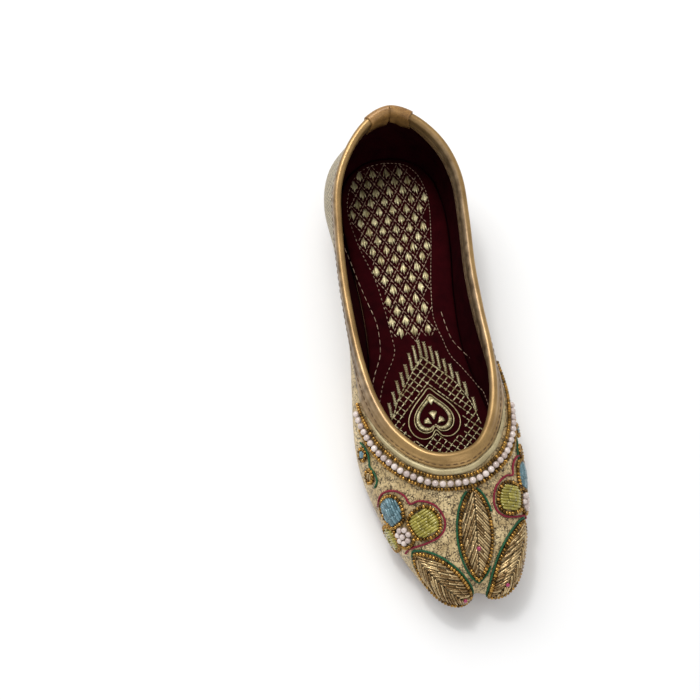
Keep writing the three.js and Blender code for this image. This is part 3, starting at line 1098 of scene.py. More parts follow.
            # Both halves rise to a small peak at the slit.
            peak = (1.9 * np.clip(1 - np.abs(u) / 1.0, 0, 1))[:, None]
            for thick in (0.75, 0.0):
                face = [last.lift(u, last.below(u, d), np.full(u.shape, o + thick))
                        for d, o in ((20, 0.12), (14, 0.12), (9, 0.15), (6.6, 0.6), (5.0, 0.9), (2.0, 1.0))]
                for degrees in range(0, 181, 15):
                    k = math.radians(degrees)
                    radius = self.roll + 0.12 + thick
                    face.append(middle + n * radius * math.cos(k)
                                + rising * ((radius + peak) * math.sin(k) - 0.35))
                for f in (0.25, 0.5, 0.75, 1.0):
                    d = length * f
                    o = np.where(d < 6.6, 0.95, 0.3)
                    face.append(last.lift(u + side * 0.05 * f, last.below(u, d), -last.wall - o - thick))
                rings.append(np.stack(face, 1))
            both = np.concatenate([rings[0], rings[1][:, ::-1]], 1)
            name = "heel_tab_outer" if side < 0 else "heel_tab_inner"
            dress(lofted(name, both, False), TAB_LEATHER, "tab_leather", "heel_tab")


# ---------------------------------------------------------------- sole and sock

@dataclass
class Sole:
    """The outsole, the heel lift and the padded sock.

    Attributes:
        last: The form.
    """

    last: Last

    def slab(self, name: str, levels: list[tuple[float, float]], toe_inset: float,
             toe_rows: float, follow: float, inner: bool, toe_rise: float = 0.0) -> bpy.types.Object:
        """A slab built from outlines, closed above and below by a ladder across.

        Args:
            name: The piece's name.
            levels: (inset, height above the sole line) from the bottom's middle to the top's middle.
            toe_inset: Extra inset behind the pinched toe.
            toe_rows: Half width of that inset, in section rows.
            follow: How much the outline widens with height, as the wall leans out.
            inner: Whether the outline lies inside the upper's wall.
            toe_rise: How much thicker the slab is at the toe, as a share of its height.

        Returns:
            The slab.
        """
        last = self.last
        half = 150
        k = np.arange(half + 1) / half
        u = 12 * k
        rings = []
        for inset, z in levels:
            sides = []
            for w in (u, -u):
                lean = np.radians(last.section(w)[:, 6])
                away = (u - 12) / toe_rows
                base = (last.wall / np.cos(lean) + 0.35 - (z - 4.8) * np.tan(lean) * follow) if inner else 0.0
                p = last.outline(w, inset + base + toe_inset * np.exp(-away ** 2))
                p[:, 2] = last.sole_line(-(p[:, 1] - last.shift[1])) + z * (1 + toe_rise * np.exp(-away ** 2))
                sides.append(p)
            rings.append(np.stack(sides, 1))
        # Each section is a ring: out along the bottom on one side, over the top, back on the other.
        left = [r[:, 0] for r in rings]
        right = [r[:, 1] for r in rings]
        cross = np.linspace(0, 1, 15)[1:-1]
        bottom = [right[0] * (1 - f) + left[0] * f for f in cross]
        top = [left[-1] * (1 - f) + right[-1] * f for f in cross]
        ring = np.stack(bottom + left + top + right[::-1], 1)
        return lofted(name, ring, False)

    def build(self) -> None:
        """Builds and dresses the sole's pieces."""
        sole = self.slab("outsole_leather", [(4.0, 0.0), (2.2, 0.0), (1.55, 0.18), (1.25, 0.6), (1.2, 1.2),
                                             (1.2, 3.9), (1.4, 4.3), (1.9, 4.5)], 6.5, 1.1, 0.0, False, 0.36)
        dress(sole, SOLE_LEATHER, "outsole_leather", "outsole")
        # The velvet swells between its turned edge and the embroidery, which draws it down.
        sock = self.slab("padded_sock", [(1.6, 4.85), (0.5, 4.95), (0.15, 5.6), (0.1, 7.0), (0.4, 7.9),
                                         (0.9, 8.4), (1.6, 8.75), (2.6, 8.95), (3.8, 8.98), (5.2, 8.85),
                                         (7.0, 8.8)], 6.0, 1.2, 0.6, True)
        dress(sock, SOCK_VELVET, "sock_velvet", "insole")
        self.lift()

    def lift(self) -> None:
        """The stacked heel lift, with its layers as shallow grooves."""
        last = self.last
        reach, spans = 3.9, 60
        rings = []
        heights = [0.0, 0.25, 1.6, 1.8, 2.0, 3.6, 3.8, 4.0, 5.5, 5.7]
        insets = [1.5, 1.2, 0.95, 1.15, 0.9, 0.65, 0.85, 0.6, 0.4, 0.45]
        u = np.linspace(0, reach, spans)
        for inset, z in zip(insets, heights):
            sides = []
            for w in (u, -u):
                p = last.outline(w, 1.2 + inset)
                p[:, 1] = np.maximum(p[:, 1], -56 + last.shift[1])
                p[:, 2] = z
                sides.append(p)
            rings.append(sides)
        left = [r[0] for r in rings]
        right = [r[1] for r in rings]
        cross = np.linspace(0, 1, 9)[1:-1]
        bottom = [right[0] * (1 - f) + left[0] * f for f in cross]
        top = [left[-1] * (1 - f) + right[-1] * f for f in cross]
        obj = lofted("stacked_heel_lift", np.stack(bottom + left + top + right[::-1], 1), False)
        # The breast is cut straight, so rings behind the cut are flat there. Half of their empty faces go.
        edit_all(obj, (bpy.ops.mesh.dissolve_degenerate, {"threshold": 1e-5}))
        dress(obj, LIFT_LEATHER, "lift_leather", "heel_lift")


@dataclass
class SockEmbroidery:
    """The gilt embroidery on the sock: leaf lattice, fringe, grid and heart, in (x, s) millimetres.

    Attributes:
        last: The form.
        cell: Width and length of one lattice diamond.
        start: Centre of one diamond.
        top: The sock's surface above the sole line.
    """

    last: Last
    cell: tuple[float, float] = (7.0, 11.2)
    start: tuple[float, float] = (-0.4, 50.4)
    top: float = 8.8
    left_edge: tuple = ((10.5, -1), (12, -9), (16, -15.5), (24, -20.5), (37, -23.5), (57, -21), (77, -15.6),
                        (94, -13.2), (110, -11.8), (115, -11.6), (120, -13.3), (130, -19.1), (138, -22.2),
                        (150, -25.5), (175, -27))
    right_edge: tuple = ((10.5, -1), (12, 8), (16, 13.5), (24, 17.3), (37, 18.8), (58, 16.3), (80, 12.4),
                         (98, 10.3), (106, 11.2), (111, 12.6), (121, 15.3), (129, 20.4), (139, 26.2),
                         (146, 29), (175, 31))
    arch: tuple = ((-22, 160), (-20, 153), (-17, 147.5), (-13.5, 140), (-8.2, 132.6), (-4.4, 127.1),
                   (-1.2, 123), (1.6, 120.8), (4.7, 123.8), (9, 128.3), (14.4, 134), (18.9, 141.5),
                   (22.2, 150), (24.2, 160))

    def on_sock(self, line: np.ndarray, lift: float) -> np.ndarray:
        """Lifts (x, s) points to the sock's surface.

        Args:
            line: The (x, s) points.
            lift: Height above the sock's surface.

        Returns:
            The points in space.
        """
        line = np.asarray(line, float)
        z = self.last.sole_line(line[:, 1]) + self.top + lift
        return np.stack([line[:, 0], -line[:, 1], z], 1) + self.last.shift

    def inside(self, p: np.ndarray, low: float, high: float) -> np.ndarray:
        """Whether (x, s) points lie in the embroidered panel between two distances from the heel.

        Args:
            p: The (x, s) points.
            low: The nearer distance from the heel.
            high: The farther distance.

        Returns:
            True for each point inside.
        """
        left = np.interp(p[:, 1], *np.array(self.left_edge).T)
        right = np.interp(p[:, 1], *np.array(self.right_edge).T)
        return (p[:, 0] > left) & (p[:, 0] < right) & (p[:, 1] > low) & (p[:, 1] < high)

    def clipped(self, line: np.ndarray, keep: np.ndarray) -> list[np.ndarray]:
        """Splits a line into its kept runs.

        Args:
            line: The line's points.
            keep: Whether each point is kept.

        Returns:
            The runs of more than two points.
        """
        runs, run = [], []
        for p, k in zip(line, keep):
            if k:
                run.append(p)
            elif len(run) > 2:
                runs.append(np.array(run))
                run = []
            else:
                run = []
        if len(run) > 2:
            runs.append(np.array(run))
        return runs

    def lattice(self) -> list[np.ndarray]:
        """The two families of lattice lines.

        Returns:
            The lines on the sock.
        """
        width, length = self.cell
        x0, s0 = self.start
        lines = []
        s = np.arange(8, 114, 1.4)
        for sign in (-1, 1):
            for k in range(-14, 15):
                x = x0 + width * (k + 0.5) + sign * (s - s0) * width / length
                line = np.stack([x, s], 1)
                lines += self.clipped(line, self.inside(line, 9, 114.5 - 0.4 * np.abs(x - 1)))
        return [stitch for line in lines for stitch in self.dotted(line, 2.0, 0.5, 0.12)]

    def sprigs(self) -> list[np.ndarray]:
        """Satin stitches of the leaf in each diamond: a stem, a middle leaf and two side leaves.

        Returns:
            The lines on the sock.
        """
        width, length = self.cell
        x0, s0 = self.start
        stitches = []
        shapes = (((0.0, -3.4), (0.1, 3.3)), ((-0.42, -2.7), (-0.25, 2.2)), ((0.4, -2.8), (0.45, 2.3)),
                  ((-0.8, -1.9), (-1.1, 1.9)), ((0.8, -1.9), (1.25, 1.8)), ((-1.05, -0.9), (-1.65, 0.9)),
                  ((1.1, -0.9), (1.7, 0.8)))
        hand = np.random.default_rng(11)
        for row in range(-8, 12):
            for k in range(-6, 7):
                centre = np.array([x0 + width * (k + 0.5 * (row % 2)), s0 + length * row / 2])
                if not self.inside(centre[None], 13, 108)[0]:
                    continue
                left = np.interp(centre[1], *np.array(self.left_edge).T)
                right = np.interp(centre[1], *np.array(self.right_edge).T)
                if centre[0] < left + 1.2 or centre[0] > right - 1.2:
                    continue
                for a, b in shapes:
                    a, b = a + hand.uniform(-0.22, 0.22, 2), b + hand.uniform(-0.3, 0.3, 2)
                    line = centre + np.linspace(0, 1, 5)[:, None] * (b - a) + a
                    stitches.append(self.on_sock(line, hand.uniform(0.15, 0.35)))
        return stitches

    def fringe(self) -> list[np.ndarray]:
        """The fringe of long stitches over the arch.

        Returns:
            The lines on the sock.
        """
        arch = np.array(self.arch)
        out = []
        for x in np.arange(-18.5, 24.5, 2.75):
            foot = np.interp(x, arch[:, 0], arch[:, 1])
            long = 10.2 if abs(x - 1.6) < 9 else 8.6
            spine = np.array([[x - 0.4, foot - long], [x, foot - long / 2], [x + 0.1, foot - 0.8]])
            spine = smooth_line(spine, 1.2)
            out.append(self.on_sock(spine, 0.2))
            # Short slanted stitches on either side make each one a wheat ear.
            for p in spine[1:]:
                for side in (-1, 1):
                    end = p + np.array([side * 0.8, -1.1])
                    out.append(self.on_sock(p + np.linspace(0, 1, 3)[:, None] * (end - p), 0.25))
        return out

    def dotted(self, line: np.ndarray, stitch: float, space: float, lift: float = 0.2) -> list[np.ndarray]:
        """Runs a line of separate stitches along (x, s) points.

        Args:
            line: The (x, s) points.
            stitch: Length of a stitch.
            space: Gap between stitches.
            lift: Height above the sock.

        Returns:
            One line for each stitch.
        """
        path = smooth_line(line, 0.5)
        step = int(round((stitch + space) / 0.5))
        size = int(round(stitch / 0.5)) + 1
        return [self.on_sock(path[i:i + size], lift) for i in range(0, len(path) - size, step)]

    def grid(self) -> list[np.ndarray]:
        """The cross-hatched grid inside the arch, left open round the heart.

        Returns:
            The lines on the sock.
        """
        arch = np.array(self.arch)
        heart = self.heart(13.4, 1.6)
        lines = []
        pitch = 4.3
        for sign in (-1, 1):
            for k in range(-14, 15):
                s = np.arange(118, 184, 0.9)
                x = 1.6 + pitch * k + sign * (s - 121) * 0.98
                line = np.stack([x, s], 1)
                over = s > np.interp(x, arch[:, 0], arch[:, 1]) - 0.2
                wide = (x > -27) & (x < 31)
                clear = np.array([not within(p, heart) for p in line])
                lines += self.clipped(line, over & wide & clear)
        return [stitch for line in lines for stitch in self.dotted(line, 2.0, 0.5, 0.12)]

    def heart(self, size: float, grow: float) -> np.ndarray:
        """A heart outline with its point towards the heel, its notch towards the toe.

        Args:
            size: Half of the outline's width.
            grow: Extra width over both sides.

        Returns:
            The outline's (x, s) points.
        """
        shape = np.array([(0, -1.06), (-0.26, -0.82), (-0.70, -0.36), (-0.94, 0.04), (-1.0, 0.42),
                          (-0.86, 0.78),
                          (-0.55, 0.98), (-0.22, 0.93), (0, 0.68), (0.22, 0.93), (0.55, 0.98), (0.86, 0.78),
                          (1.0, 0.42), (0.94, 0.04), (0.70, -0.36), (0.26, -0.82)])
        out = smooth_line(shape * (size + grow * 0.5), 0.6, closed=True)
        return out + np.array([1.7, 150.2])

    def heart_lines(self) -> tuple[list[np.ndarray], list[np.ndarray]]:
        """The heart's cords and its satin stitches.

        Returns:
            The cords' lines and the satin stitches' lines.
        """
        cords, satin = [], []
        for size in (12.6, 9.6):
            loop = self.heart(size, 0)
            cords.append(self.on_sock(np.concatenate([loop, loop[:1]]), 0.25))
        outer, inner = self.heart(8.9, 0), self.heart(6.9, 0)
        for far in outer:
            near = inner[np.argmin(np.linalg.norm(inner - far, axis=1))]
            satin.append(self.on_sock(far + np.linspace(0, 1, 4)[:, None] * (near - far), 0.28))
        for dx, ds, turn, size in ((0, -1.6, 0, 1.0), (-3.7, 2.0, -52, 0.85), (3.7, 2.0, 52, 0.85),
                                   (0, -8.6, 0, 0.8)):
            for f in np.linspace(-1, 1, 7):
                reach = 3.0 * size * (1.1 - f * f * 0.55)
                line = np.stack([np.linspace(0.25, 1.0, 5) * f * 1.9 * size,
                                 np.linspace(2.4, -1, 5) * reach / 2.4], 1)
                satin.append(self.on_sock(turned(line, turn) + np.array([1.7 + dx, 151.5 + ds]), 0.3))
        return cords, satin

    def build(self) -> None:
        """Builds and dresses the embroidery."""
        dress(threads("sock_lattice", self.lattice(), 0.27, taper=True), LATTICE_ZARI, "sock_velvet")
        dress(threads("sock_sprigs", self.sprigs(), 0.34, taper=True), ZARI, "sock_velvet")
        left, right = np.array(self.left_edge)[:, ::-1], np.array(self.right_edge)[:, ::-1]
        borders = self.dotted(left, 1.5, 1.0) + self.dotted(right, 1.5, 0.5)
        # The borders take the darker mauve-grey thread as painted shade, for the shadow over them at the
        # heel.
        dress(threads("sock_borders", borders, 0.24, taper=True), LATTICE_ZARI, "sock_velvet")
        fringe = self.fringe()
        dress(threads("sock_fringe", fringe, 0.22, taper=True), ZARI, "sock_velvet")
        arch = self.dotted(np.array(self.arch), 1.5, 0.3) + self.grid()
        dress(threads("sock_grid", arch, 0.28), ZARI, "sock_velvet")
        cords, satin = self.heart_lines()
        dress(threads("sock_heart_cords", cords, 0.32), ZARI, "sock_velvet")
        dress(threads("sock_heart_satin", satin, 0.42, taper=True), ZARI, "sock_velvet")
        left = ((-27.2, 42), (-29.3, 49.8), (-25.6, 69.7), (-22.7, 83), (-20.9, 90), (-18.6, 99),
                (-18.1, 107),
                (-19.2, 117), (-23.7, 127.5), (-27.5, 140))
        right = ((14.6, 98), (16, 107), (17.9, 114), (22.5, 121), (25.4, 125), (30, 135), (32, 146))
        lines = self.dotted(np.array(left), 2.8, 1.2, 0.2) + self.dotted(np.array(right), 2.8, 1.2, 0.2)
        dress(threads("sock_edge_stitches", lines, 0.24, taper=True), LATTICE_ZARI, "sock_velvet")


def within(p: np.ndarray, loop: np.ndarray) -> bool:
    """Whether a flat point lies inside a closed loop.

    Args:
        p: The point.
        loop: The loop's points.

    Returns:
        True when the point is inside.
    """
    a, b = loop, np.roll(loop, -1, 0)
    spans = (a[:, 1] > p[1]) != (b[:, 1] > p[1])
    with np.errstate(divide="ignore", invalid="ignore"):
        cross = a[:, 0] + (p[1] - a[:, 1]) / (b[:, 1] - a[:, 1]) * (b[:, 0] - a[:, 0])
    return bool(np.count_nonzero(spans & (p[0] < cross)) % 2)


# ---------------------------------------------------------------- beadwork

@dataclass
class Motif:
    """A beaded motif, laid flat on the upper: its shapes are gathered, then joined by finish.

    Attributes:
        last: The form.
        place: u and drop of the pattern's origin.
        turn: Turn of its first axis from straight down the upper, in degrees.
        mirror: Whether it is the big-toe side's mirror image.
    """

    last: Last
    place: tuple[float, float]
    turn: float = 0.0
    mirror: bool = False

    def lay(self, flat: np.ndarray, lift: float | np.ndarray = 0.0) -> tuple[np.ndarray, np.ndarray]:
        """Lays pattern points, mirrored if the motif is."""
        flat = np.asarray(flat, float).reshape(-1, 2) * np.array([1, -1 if self.mirror else 1])
        return self.last.lay(self.place, self.turn, flat, lift)


@dataclass
class Beadwork:
    """All beads, bugles, strands and cords on the vamp.

    Attributes:
        last: The form.
        seed_pitch: Distance between seed beads on a thread, in millimetres.
        seed: Seed bead length, width and height.
        pearl: Diameter of the pearls in the row.
    """

    last: Last
    seed_pitch: float = 1.56
    seed: tuple[float, float, float] = (1.42, 2.05, 1.95)
    pearl: float = 3.15
    seeds: list = field(default_factory=list)
    pearls: list = field(default_factory=list)
    green: list = field(default_factory=list)
    crimson: list = field(default_factory=list)
    strands: list = field(default_factory=list)
    blue: list = field(default_factory=list)
    lime: list = field(default_factory=list)
    rubies: list = field(default_factory=list)

    def string(self, line: np.ndarray, normals: np.ndarray, pitch: float, closed: bool) -> tuple:
        """Spaces beads along a line on the surface.

        Args:
            line: Points of the line, in millimetres.
            normals: Outward directions at those points.
            pitch: Bead spacing.
            closed: Whether the line is a loop.

        Returns:
            Bead centres, outward directions and thread directions.
        """
        if closed:
            line, normals = np.concatenate([line, line[:1]]), np.concatenate([normals, normals[:1]])
        p, n = evenly_with(line, normals, pitch, closed)
        if closed:
            along = np.roll(p, -1, 0) - np.roll(p, 1, 0)
        else:
            along = np.gradient(p, axis=0)
        return p, unit(n), unit(along)

    def seed_line(self, motif: Motif, flat: np.ndarray, closed: bool = True) -> None:
        """Strings seed beads along a flat pattern line.

        Args:
            motif: The motif it belongs to.
            flat: The pattern's points.
            closed: Whether the line is closed.
        """
        path = smooth_line(flat, 0.8, closed)
        p, n = motif.lay(path, 0.9)
        self.seeds.append(self.string(p, n, self.seed_pitch, closed))

    def cord(self, motif: Motif, flat: np.ndarray, store: list, closed: bool = False) -> None:
        """Couches a two-ply cord along a flat pattern line.

        Args:
            motif: The motif it belongs to.
            flat: The pattern's points.
            store: The list that takes the two plies.
            closed: Whether the line is closed.
        """
        path = smooth_line(flat, 0.4, closed)
        p, n = motif.lay(path, 0.42)
        along = unit(np.gradient(p, axis=0))
        side = np.cross(n, along)
        turn = np.arange(len(p)) * 0.4 / 2.2 * 2 * math.pi
        for phase in (0, math.pi):
            c, s = np.cos(turn + phase)[:, None], np.sin(turn + phase)[:, None]
            store.append(p + (side * c + n * s) * 0.22)

    def rows(self) -> None:
        """The two seed-bead rows and the pearl row round the throat."""
        last = self.last
        rows = ((7.8, 16.9, ((7.8, 10.0), (12, 9.5), (13.7, 11.1), (15.5, 11.4))),
                (8.3, 15.9, ((8.3, 14.9), (12, 14.9), (13, 15.4), (14.2, 16.4), (14.8, 17.0), (16, 17.3))))
        for start, end, drops in rows:
            u = np.linspace(start, end, 900)
            t = last.below(u, np.interp(u, *np.array(drops).T))
            self.seeds.append(self.string(last.lift(u, t, np.full(u.shape, 0.95)), last.normal(u, t),
                                          self.seed_pitch, False))
        u = np.linspace(7.95, 15.8, 900)
        t = last.below(u, np.interp(u, (7.95, 12, 13.3, 15, 15.8), (12.6, 12.3, 13.1, 14.2, 14.6)))
        p, n, along = self.string(last.lift(u, t, np.full(u.shape, 1.35)), last.normal(u, t),
                                  self.pearl * 1.1, False)
        self.pearls.append((p, n, along, self.pearl))

    def leaf(self, motif: Motif, length: float, width: float, centre: tuple[float, float], turn: float,
             ruby: float, cord_side: int) -> None:
        """A pointed leaf: padded strands in a feather pattern, a seed-bead edge and a green cord.

        Args:
            motif: Where it is laid.
            length: Length of the bead edge's line.
            width: Width of that line.
            centre: The leaf's middle in the motif's pattern.
            turn: Turn of the leaf in the pattern.
            ruby: Place of the ruby bead along the leaf, as a share of its half length.
            cord_side: 0 for a cord all round, or -1 or 1 for that side only.
        """
        half = length / 2
        f = np.linspace(-1, 1, 41)
        # Widest a little behind the middle, with a blunt top and a drawn-out tip.
        power = np.where(f > 0, 1.75, 2.2)
        shape = width / 2 * (1 - np.abs(f) ** power) ** np.where(f > 0, 0.8, 0.7)

        def put(points: np.ndarray) -> np.ndarray:
            """Places leaf points in the motif's pattern."""
            return turned(np.asarray(points, float), turn) + np.array(centre)

        def edge(grow: float, side: int) -> np.ndarray:
            """One side of the outline, grown outward."""
            return np.stack([f * (half + grow * 1.3), side * (shape + grow * (1 - np.abs(f) ** 6))], 1)

        ring = np.concatenate([edge(0, 1), edge(0, -1)[::-1][1:-1]])
        self.seed_line(motif, put(ring[::2]))
        lines, heights = [], []
        # The barbs leave the midrib more steeply on one side than on the other.
        hand = np.random.default_rng(int(length * 10 + width))
        for side, mean in ((-1, 22 if cord_side == 0 else 30), (1, 40 if cord_side == 0 else 30)):
            gap = 0.95 / math.sin(math.radians(mean))
            for a in np.arange(-half + 0.6, half - 1.6, gap):
                degrees = mean + hand.uniform(-3, 3)
                c, q = math.cos(math.radians(degrees)), math.sin(math.radians(degrees))
                reach = np.arange(0.2, 1.2 * width / q, 0.2)
                way = np.stack([a + reach * c, 0.2 + reach * q], 1)
                limit = np.interp(way[:, 0], f * half, shape) - 0.8
                inside = (way[:, 1] < limit) & (way[:, 0] < half - 1.3)
                stop = len(way) if inside.all() else int(np.argmin(inside))
                way = way[:stop]
                if len(way) < 5:
                    continue
                # Each barb is strung from cut strands of about five millimetres.
                for piece in np.array_split(way, max(1, round(len(way) * 0.2 / hand.uniform(3.6, 6.5)))):
                    line = piece[np.linspace(0, len(piece) - 1, 5).astype(int)].copy()
                    wide = np.maximum(np.interp(line[:, 0], f * half, shape), 0.5)
                    dome = 1.6 * (1 - (line[:, 1] / wide) ** 2) * (wide / (width / 2)) ** 0.5
                    line[:, 1] *= side
                    lines.append(put(line))
                    heights.append(0.5 + dome + hand.uniform(-0.12, 0.12))
        self.lay_lines(motif, lines, heights, self.strands)
        p, n = motif.lay(put([[ruby * half, 0.3]]), 2.5)
        self.rubies.append((p, n))
        if cord_side == 0:
            # Down the little-toe side, round the tip and a little way up; and a short piece at the top.
            around = np.concatenate([edge(1.35, -1)[2::2], edge(1.35, 1)[::-1][1:9:2]])
            self.cord(motif, put(around), self.green)
            self.cord(motif, put(edge(1.35, 1)[1:13:2]), self.green)
        else:
            line = edge(1.35, cord_side)
            start = edge(1.35, -cord_side)[1:9:2][::-1]
            self.cord(motif, put(np.concatenate([start, line[::2]])), self.green)

    def lay_lines(self, motif: Motif, lines: list, heights: list, store: list) -> None:
        """Lays many short lines at once.

        Args:
            motif: The motif they belong to.
            lines: Each line's flat points.
            heights: Each line's heights above the surface.
            store: The list that takes the laid lines.
        """
        if not lines:
            return
        sizes = [len(line) for line in lines]
        p, _ = motif.lay(np.concatenate(lines), np.concatenate(heights))
        at = 0
        for size in sizes:
            store.append(p[at:at + size])
            at += size

    def petal(self, motif: Motif, root: tuple[float, float], angle: float, near: float, far: float,
              inner: float, outer: float, store: list) -> None:
        """A fan-shaped petal: bugle beads side by side, with a seed-bead edge.

        Args:
            motif: Where it is laid.
            root: The blossom's centre in the pattern.
            angle: Direction of the petal from there, in degrees.
            near: Distance from the centre to the petal's inner end.
            far: Distance to its outer end.
            inner: Half width near the centre.
            outer: Half width at its widest.
            store: Where its bugles go.
        """
        body = np.array([(near, 0), (near + 0.3, inner * 0.8), (near + (far - near) * 0.3, outer * 0.93),
                         (near + (far - near) * 0.62, outer), (far - 1.5, outer * 0.8), (far, outer * 0.32)])
        ring = np.concatenate([body, body[::-1][:-1] * np.array([1, -1])])
        lines, heights = [], []
        pitch = 1.28
        count = int(outer / pitch)
        upper_edge = smooth_line(body, 0.3)
        for k in range(-count, count + 1):
            b = k * pitch * outer / (outer + 0.2)
            inside = upper_edge[upper_edge[:, 1] > abs(b) - 0.02]
            if len(inside) < 3:
                continue
            a0, a1 = inside[:, 0].min() + 0.1, inside[:, 0].max() + 0.3
            count_along = max(1, round((a1 - a0) / 4.2))
            joints = np.linspace(a0, a1, count_along + 1)
            joints[1:-1] += 0.9 * math.sin(k * 2.4) * (0.5 if count_along > 2 else 1.0)
            for near_end, far_end in zip(joints[:-1], joints[1:]):
                a = np.linspace(near_end + 0.05, far_end - 0.05, 4)
                lines.append(turned(np.stack([a, np.full(4, b)], 1), angle) + np.array(root))
                across = np.interp(a, (a0, a1), (-1, 1))
                swell = (1 - (b / (outer + 1)) ** 2) * (1 - across ** 4 * 0.45)
                heights.append(0.5 + 1.15 * swell + 0.08 * math.sin(k * 5.1 + far_end))
        self.lay_lines(motif, lines, heights, store)
        middle = ring.mean(0)
        grown = ring + unit(ring - middle) * 1.05
        self.seed_line(motif, turned(grown, angle) + np.array(root))

    def blossom(self, motif: Motif, shift: tuple[float, float]) -> None:
        """A half blossom: a pearl cluster with three petals, inside a crimson cord.

        Args:
            motif: Where it is laid.
            shift: Offset on the flat pattern.
        """
        root = np.array([3.0, 0.0]) + shift
        ring = np.array([root + turned(np.array([[3.1, 0.0]]), a)[0] for a in np.arange(7) * 360 / 7])
        p, n = motif.lay(np.concatenate([[root], ring]), np.array([1.5] + [1.3] * 7))
        self.pearls.append((p, n, unit(np.cross(n, UP + 0.01)), 2.75))
        self.petal(motif, root, 204, 6.6, 18.4, 4.4, 5.5, self.blue)
        self.petal(motif, root, 114, 6.2, 17.4, 5.0, 6.1, self.lime)
        self.petal(motif, root, 280, 6.2, 15.8, 4.2, 5.2, self.lime)
        cord = np.array([(-10.5, -14.6), (-14.4, -12.4), (-17.0, -9.4), (-18.0, -4.9), (-17.3, -0.5),
                         (-14.8, 3.0),
                         (-11.2, 5.2), (-11.9, 9.0), (-10.8, 13.4), (-7.9, 17.2), (-2.8, 19.6), (1.8, 19.3),
                         (5.1, 16.5), (6.9, 12.0), (8.0, 7.2), (9.1, 1.6), (11.6, -2.8)])
        self.cord(motif, cord + np.array(shift), self.crimson)
        edge = np.array([root + turned(np.array([[5.5, 0.0]]), a)[0] for a in range(-50, 90, 20)])
        self.seed_line(motif, edge, closed=False)

    def bud(self, motif: Motif) -> None:
        """The small side bud: a blue eye, a gilt drop and a green stem.

        Args:
            motif: Where it is laid.
        """
        stem = np.array([(-8.2, -9), (-7.3, -5.6), (-4.6, -1.6), (-1.6, -0.2), (0.6, 0.8), (2.9, 4.6),
                         (5.8, 6.6),
                         (9.2, 5.4)])
        self.cord(motif, stem, self.green)
        for centre, long, wide, store in (((-3.4, -5.8), 3.0, 2.4, self.blue),
                                          ((5.0, 1.2), 3.6, 2.2, self.strands)):
            lines, heights = [], []
            for b in (-1.1, 0, 1.1):
                a = long * 0.5 * (1 - 0.25 * abs(b))
                lines.append(np.stack([np.linspace(-a, a, 5), np.full(5, b)], 1) + np.array(centre))
                heights.append(np.full(5, 1.1 - 0.2 * abs(b)))
            self.lay_lines(motif, lines, heights, store)
            k = np.linspace(0, 2 * math.pi, 10, endpoint=False)
            loop = np.stack([np.cos(k) * (long * 0.5 + 1.4), np.sin(k) * (wide * 0.5 + 1.5)], 1)
            self.seed_line(motif, loop + np.array(centre))

    def build(self) -> None:
        """Lays every motif, then joins and dresses the beads, strands and cords."""
        last = self.last
        self.rows()
        self.leaf(Motif(last, (12.2, 37)), 41, 14.8, (0.3, 2.1), -9, 0.28, 0)
        self.leaf(Motif(last, (11.15, 58)), 37.4, 15.8, (1.8, 1.3), 28.5, 0.62, 1)
        self.leaf(Motif(last, (13.0, 58)), 41, 15.0, (-0.5, -0.8), -29.2, 0.45, -1)
        self.blossom(Motif(last, (10.5, 38)), (0.0, 0.0))
        self.blossom(Motif(last, (13.6, 36), mirror=True), (-2.0, -5.4))
        self.bud(Motif(last, (9.0, 22)))
        self.bud(Motif(last, (15.05, 22), mirror=True))
        for name, group in (("seed_beads_rows", self.seeds[:2]), ("seed_beads_motifs", self.seeds[2:])):
            p, n, along = (np.concatenate(k) for k in zip(*group))
            dress(beads(name, BeadShape.SEED, p, n, along, self.seed), SEED_BRASS, "upper_tissue")
        for name, group in (("pearl_row", self.pearls[:1]), ("pearl_clusters", self.pearls[1:])):
            p, n, along = (np.concatenate([g[k] for g in group]) for k in range(3))
            size = group[0][3]
            dress(beads(name, BeadShape.PEARL, p, n, along, (size,) * 3), PEARL, "upper_tissue")
        p, n = (np.concatenate(k) for k in zip(*self.rubies))
        dress(beads("ruby_beads", BeadShape.PEARL, p, n, unit(np.cross(n, UP + 0.01)), (1.9, 2.1, 1.6)), RUBY,
              "upper_tissue")
        for name, lines, radius, finish in (
                ("leaf_strands", self.strands, 0.46, STRAND), ("blue_bugles", self.blue, 0.7, BLUE_BUGLE),
                ("lime_bugles", self.lime, 0.7, LIME_BUGLE), ("green_cords", self.green, 0.36, GREEN_CORD),
                ("crimson_cords", self.crimson, 0.36, CRIMSON_CORD)):
            dress(threads(name, lines, radius), finish, "upper_tissue")


def evenly_with(line: np.ndarray, extra: np.ndarray, step: float,
                closed: bool) -> tuple[np.ndarray, np.ndarray]:
    """Steps a line evenly and carries another set of values along it.

    Args:
        line: The line's points.
        extra: Values to carry, one row for each point.
        step: The wanted spacing.
        closed: Whether the last point is the first one again.

    Returns:
        The spaced points and their values.
    """
    length = np.concatenate([[0], np.cumsum(np.linalg.norm(np.diff(line, axis=0), axis=1))])
    count = max(2, int(round(length[-1] / step)))
    at = np.linspace(0, length[-1], count + 1)
    both = np.concatenate([line, extra], 1)
    out = np.stack([np.interp(at, length, both[:, k]) for k in range(both.shape[1])], 1)
    out = out[:-1] if closed else out
    return out[:, :3], out[:, 3:]


# ---------------------------------------------------------------- studio

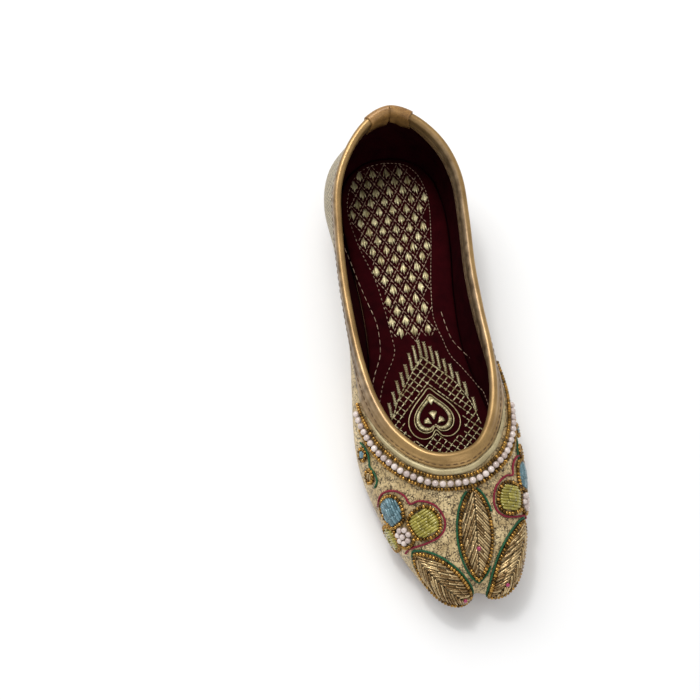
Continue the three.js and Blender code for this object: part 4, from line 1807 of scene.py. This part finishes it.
@dataclass
class Studio:
    """Camera, pale floor and soft lights.

    Attributes:
        azimuth: Camera azimuth in degrees; 0 looks along +Y.
        elevation: Camera elevation in degrees.
        roll: Camera roll in degrees.
        distance: From the camera to what it looks at, in millimetres.
        target: What it looks at: s from the heel and height.
    """

    azimuth: float = -20.0
    elevation: float = 65.5
    roll: float = 11.2
    distance: float = 657.0
    target: tuple[float, float] = (122.0, 20.0)
    lens: float = 69.43
    shift: tuple[float, float] = (-0.1023, 0.0036)

    def camera(self, last: Last) -> None:
        """Places the camera.

        Args:
            last: The form the shoe is built on.
        """
        a, e, r = (math.radians(x) for x in (self.azimuth, self.elevation, self.roll))
        back = Vector((math.sin(a) * math.cos(e), -math.cos(a) * math.cos(e), math.sin(e)))
        right = Vector((math.cos(a), math.sin(a), 0))
        up = back.cross(right)
        x = right * math.cos(r) + up * math.sin(r)
        y = up * math.cos(r) - right * math.sin(r)
        aim = Vector((last.shift[0], last.shift[1] - self.target[0], self.target[1])) * MM
        data = bpy.data.cameras.new("camera")
        data.sensor_width = 36
        data.lens = self.lens
        data.shift_x, data.shift_y = self.shift
        data.clip_start, data.clip_end = 0.01, 50
        obj = bpy.data.objects.new("camera", data)
        bpy.context.scene.collection.objects.link(obj)
        turn = Matrix((x, y, back)).transposed().to_4x4()
        obj.matrix_world = Matrix.Translation(aim + back * self.distance * MM) @ turn
        bpy.context.scene.camera = obj

    def light(self, name: str, place: tuple[float, float, float], size: float, power: float) -> None:
        """Adds a soft square light that faces the shoe.

        Args:
            name: The light's name.
            place: Its place, in metres.
            size: Side of the square, in metres.
            power: Its power, in watts.
        """
        data = bpy.data.lights.new(name, "AREA")
        data.shape = "SQUARE"
        data.size = size
        data.energy = power
        obj = bpy.data.objects.new(name, data)
        bpy.context.scene.collection.objects.link(obj)
        obj.location = place
        obj.rotation_mode = "QUATERNION"
        obj.rotation_quaternion = (Vector(place) - Vector((0, 0, 0.02))).to_track_quat("Z", "Y")

    def build(self, last: Last) -> None:
        """Builds the studio.

        Args:
            last: The form the shoe is built on.
        """
        self.camera(last)
        floor = new_primitive("studio_floor", bpy.ops.mesh.primitive_plane_add, size=6,
                              location=(0, 0, -0.0001))
        paper = bpy.data.materials.new("studio_paper")
        paper.use_nodes = True
        main = paper.node_tree.nodes["Principled BSDF"]
        main.inputs["Base Color"].default_value = linear("F7F7F7")
        main.inputs["Roughness"].default_value = 0.9
        floor.data.materials.append(paper)
        world = bpy.data.worlds.new("studio_world")
        world.use_nodes = True
        world.node_tree.nodes["Background"].inputs[0].default_value = (1, 1, 1, 1)
        world.node_tree.nodes["Background"].inputs[1].default_value = 0.56
        bpy.context.scene.world = world
        self.light("key_softbox", (-0.24, 0.52, 0.84), 0.8, 5.8)
        self.light("sparkle_lamp", (-0.2, 0.34, 0.92), 0.14, 1.8)
        self.light("fill_softbox", (0.35, -0.75, 0.75), 0.7, 1.6)
        bpy.context.scene.view_settings.view_transform = "Standard"


def main() -> None:
    """Builds the shoe's sub-assemblies and the studio, in order."""
    logging.basicConfig(level=logging.INFO, format="%(message)s")
    last = Last()
    Studio().build(last)
    Upper(last).build()
    Collar(last).build()
    Sole(last).build()
    SockEmbroidery(last).build()
    Beadwork(last).build()
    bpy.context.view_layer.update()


if __name__ == "__main__":
    main()
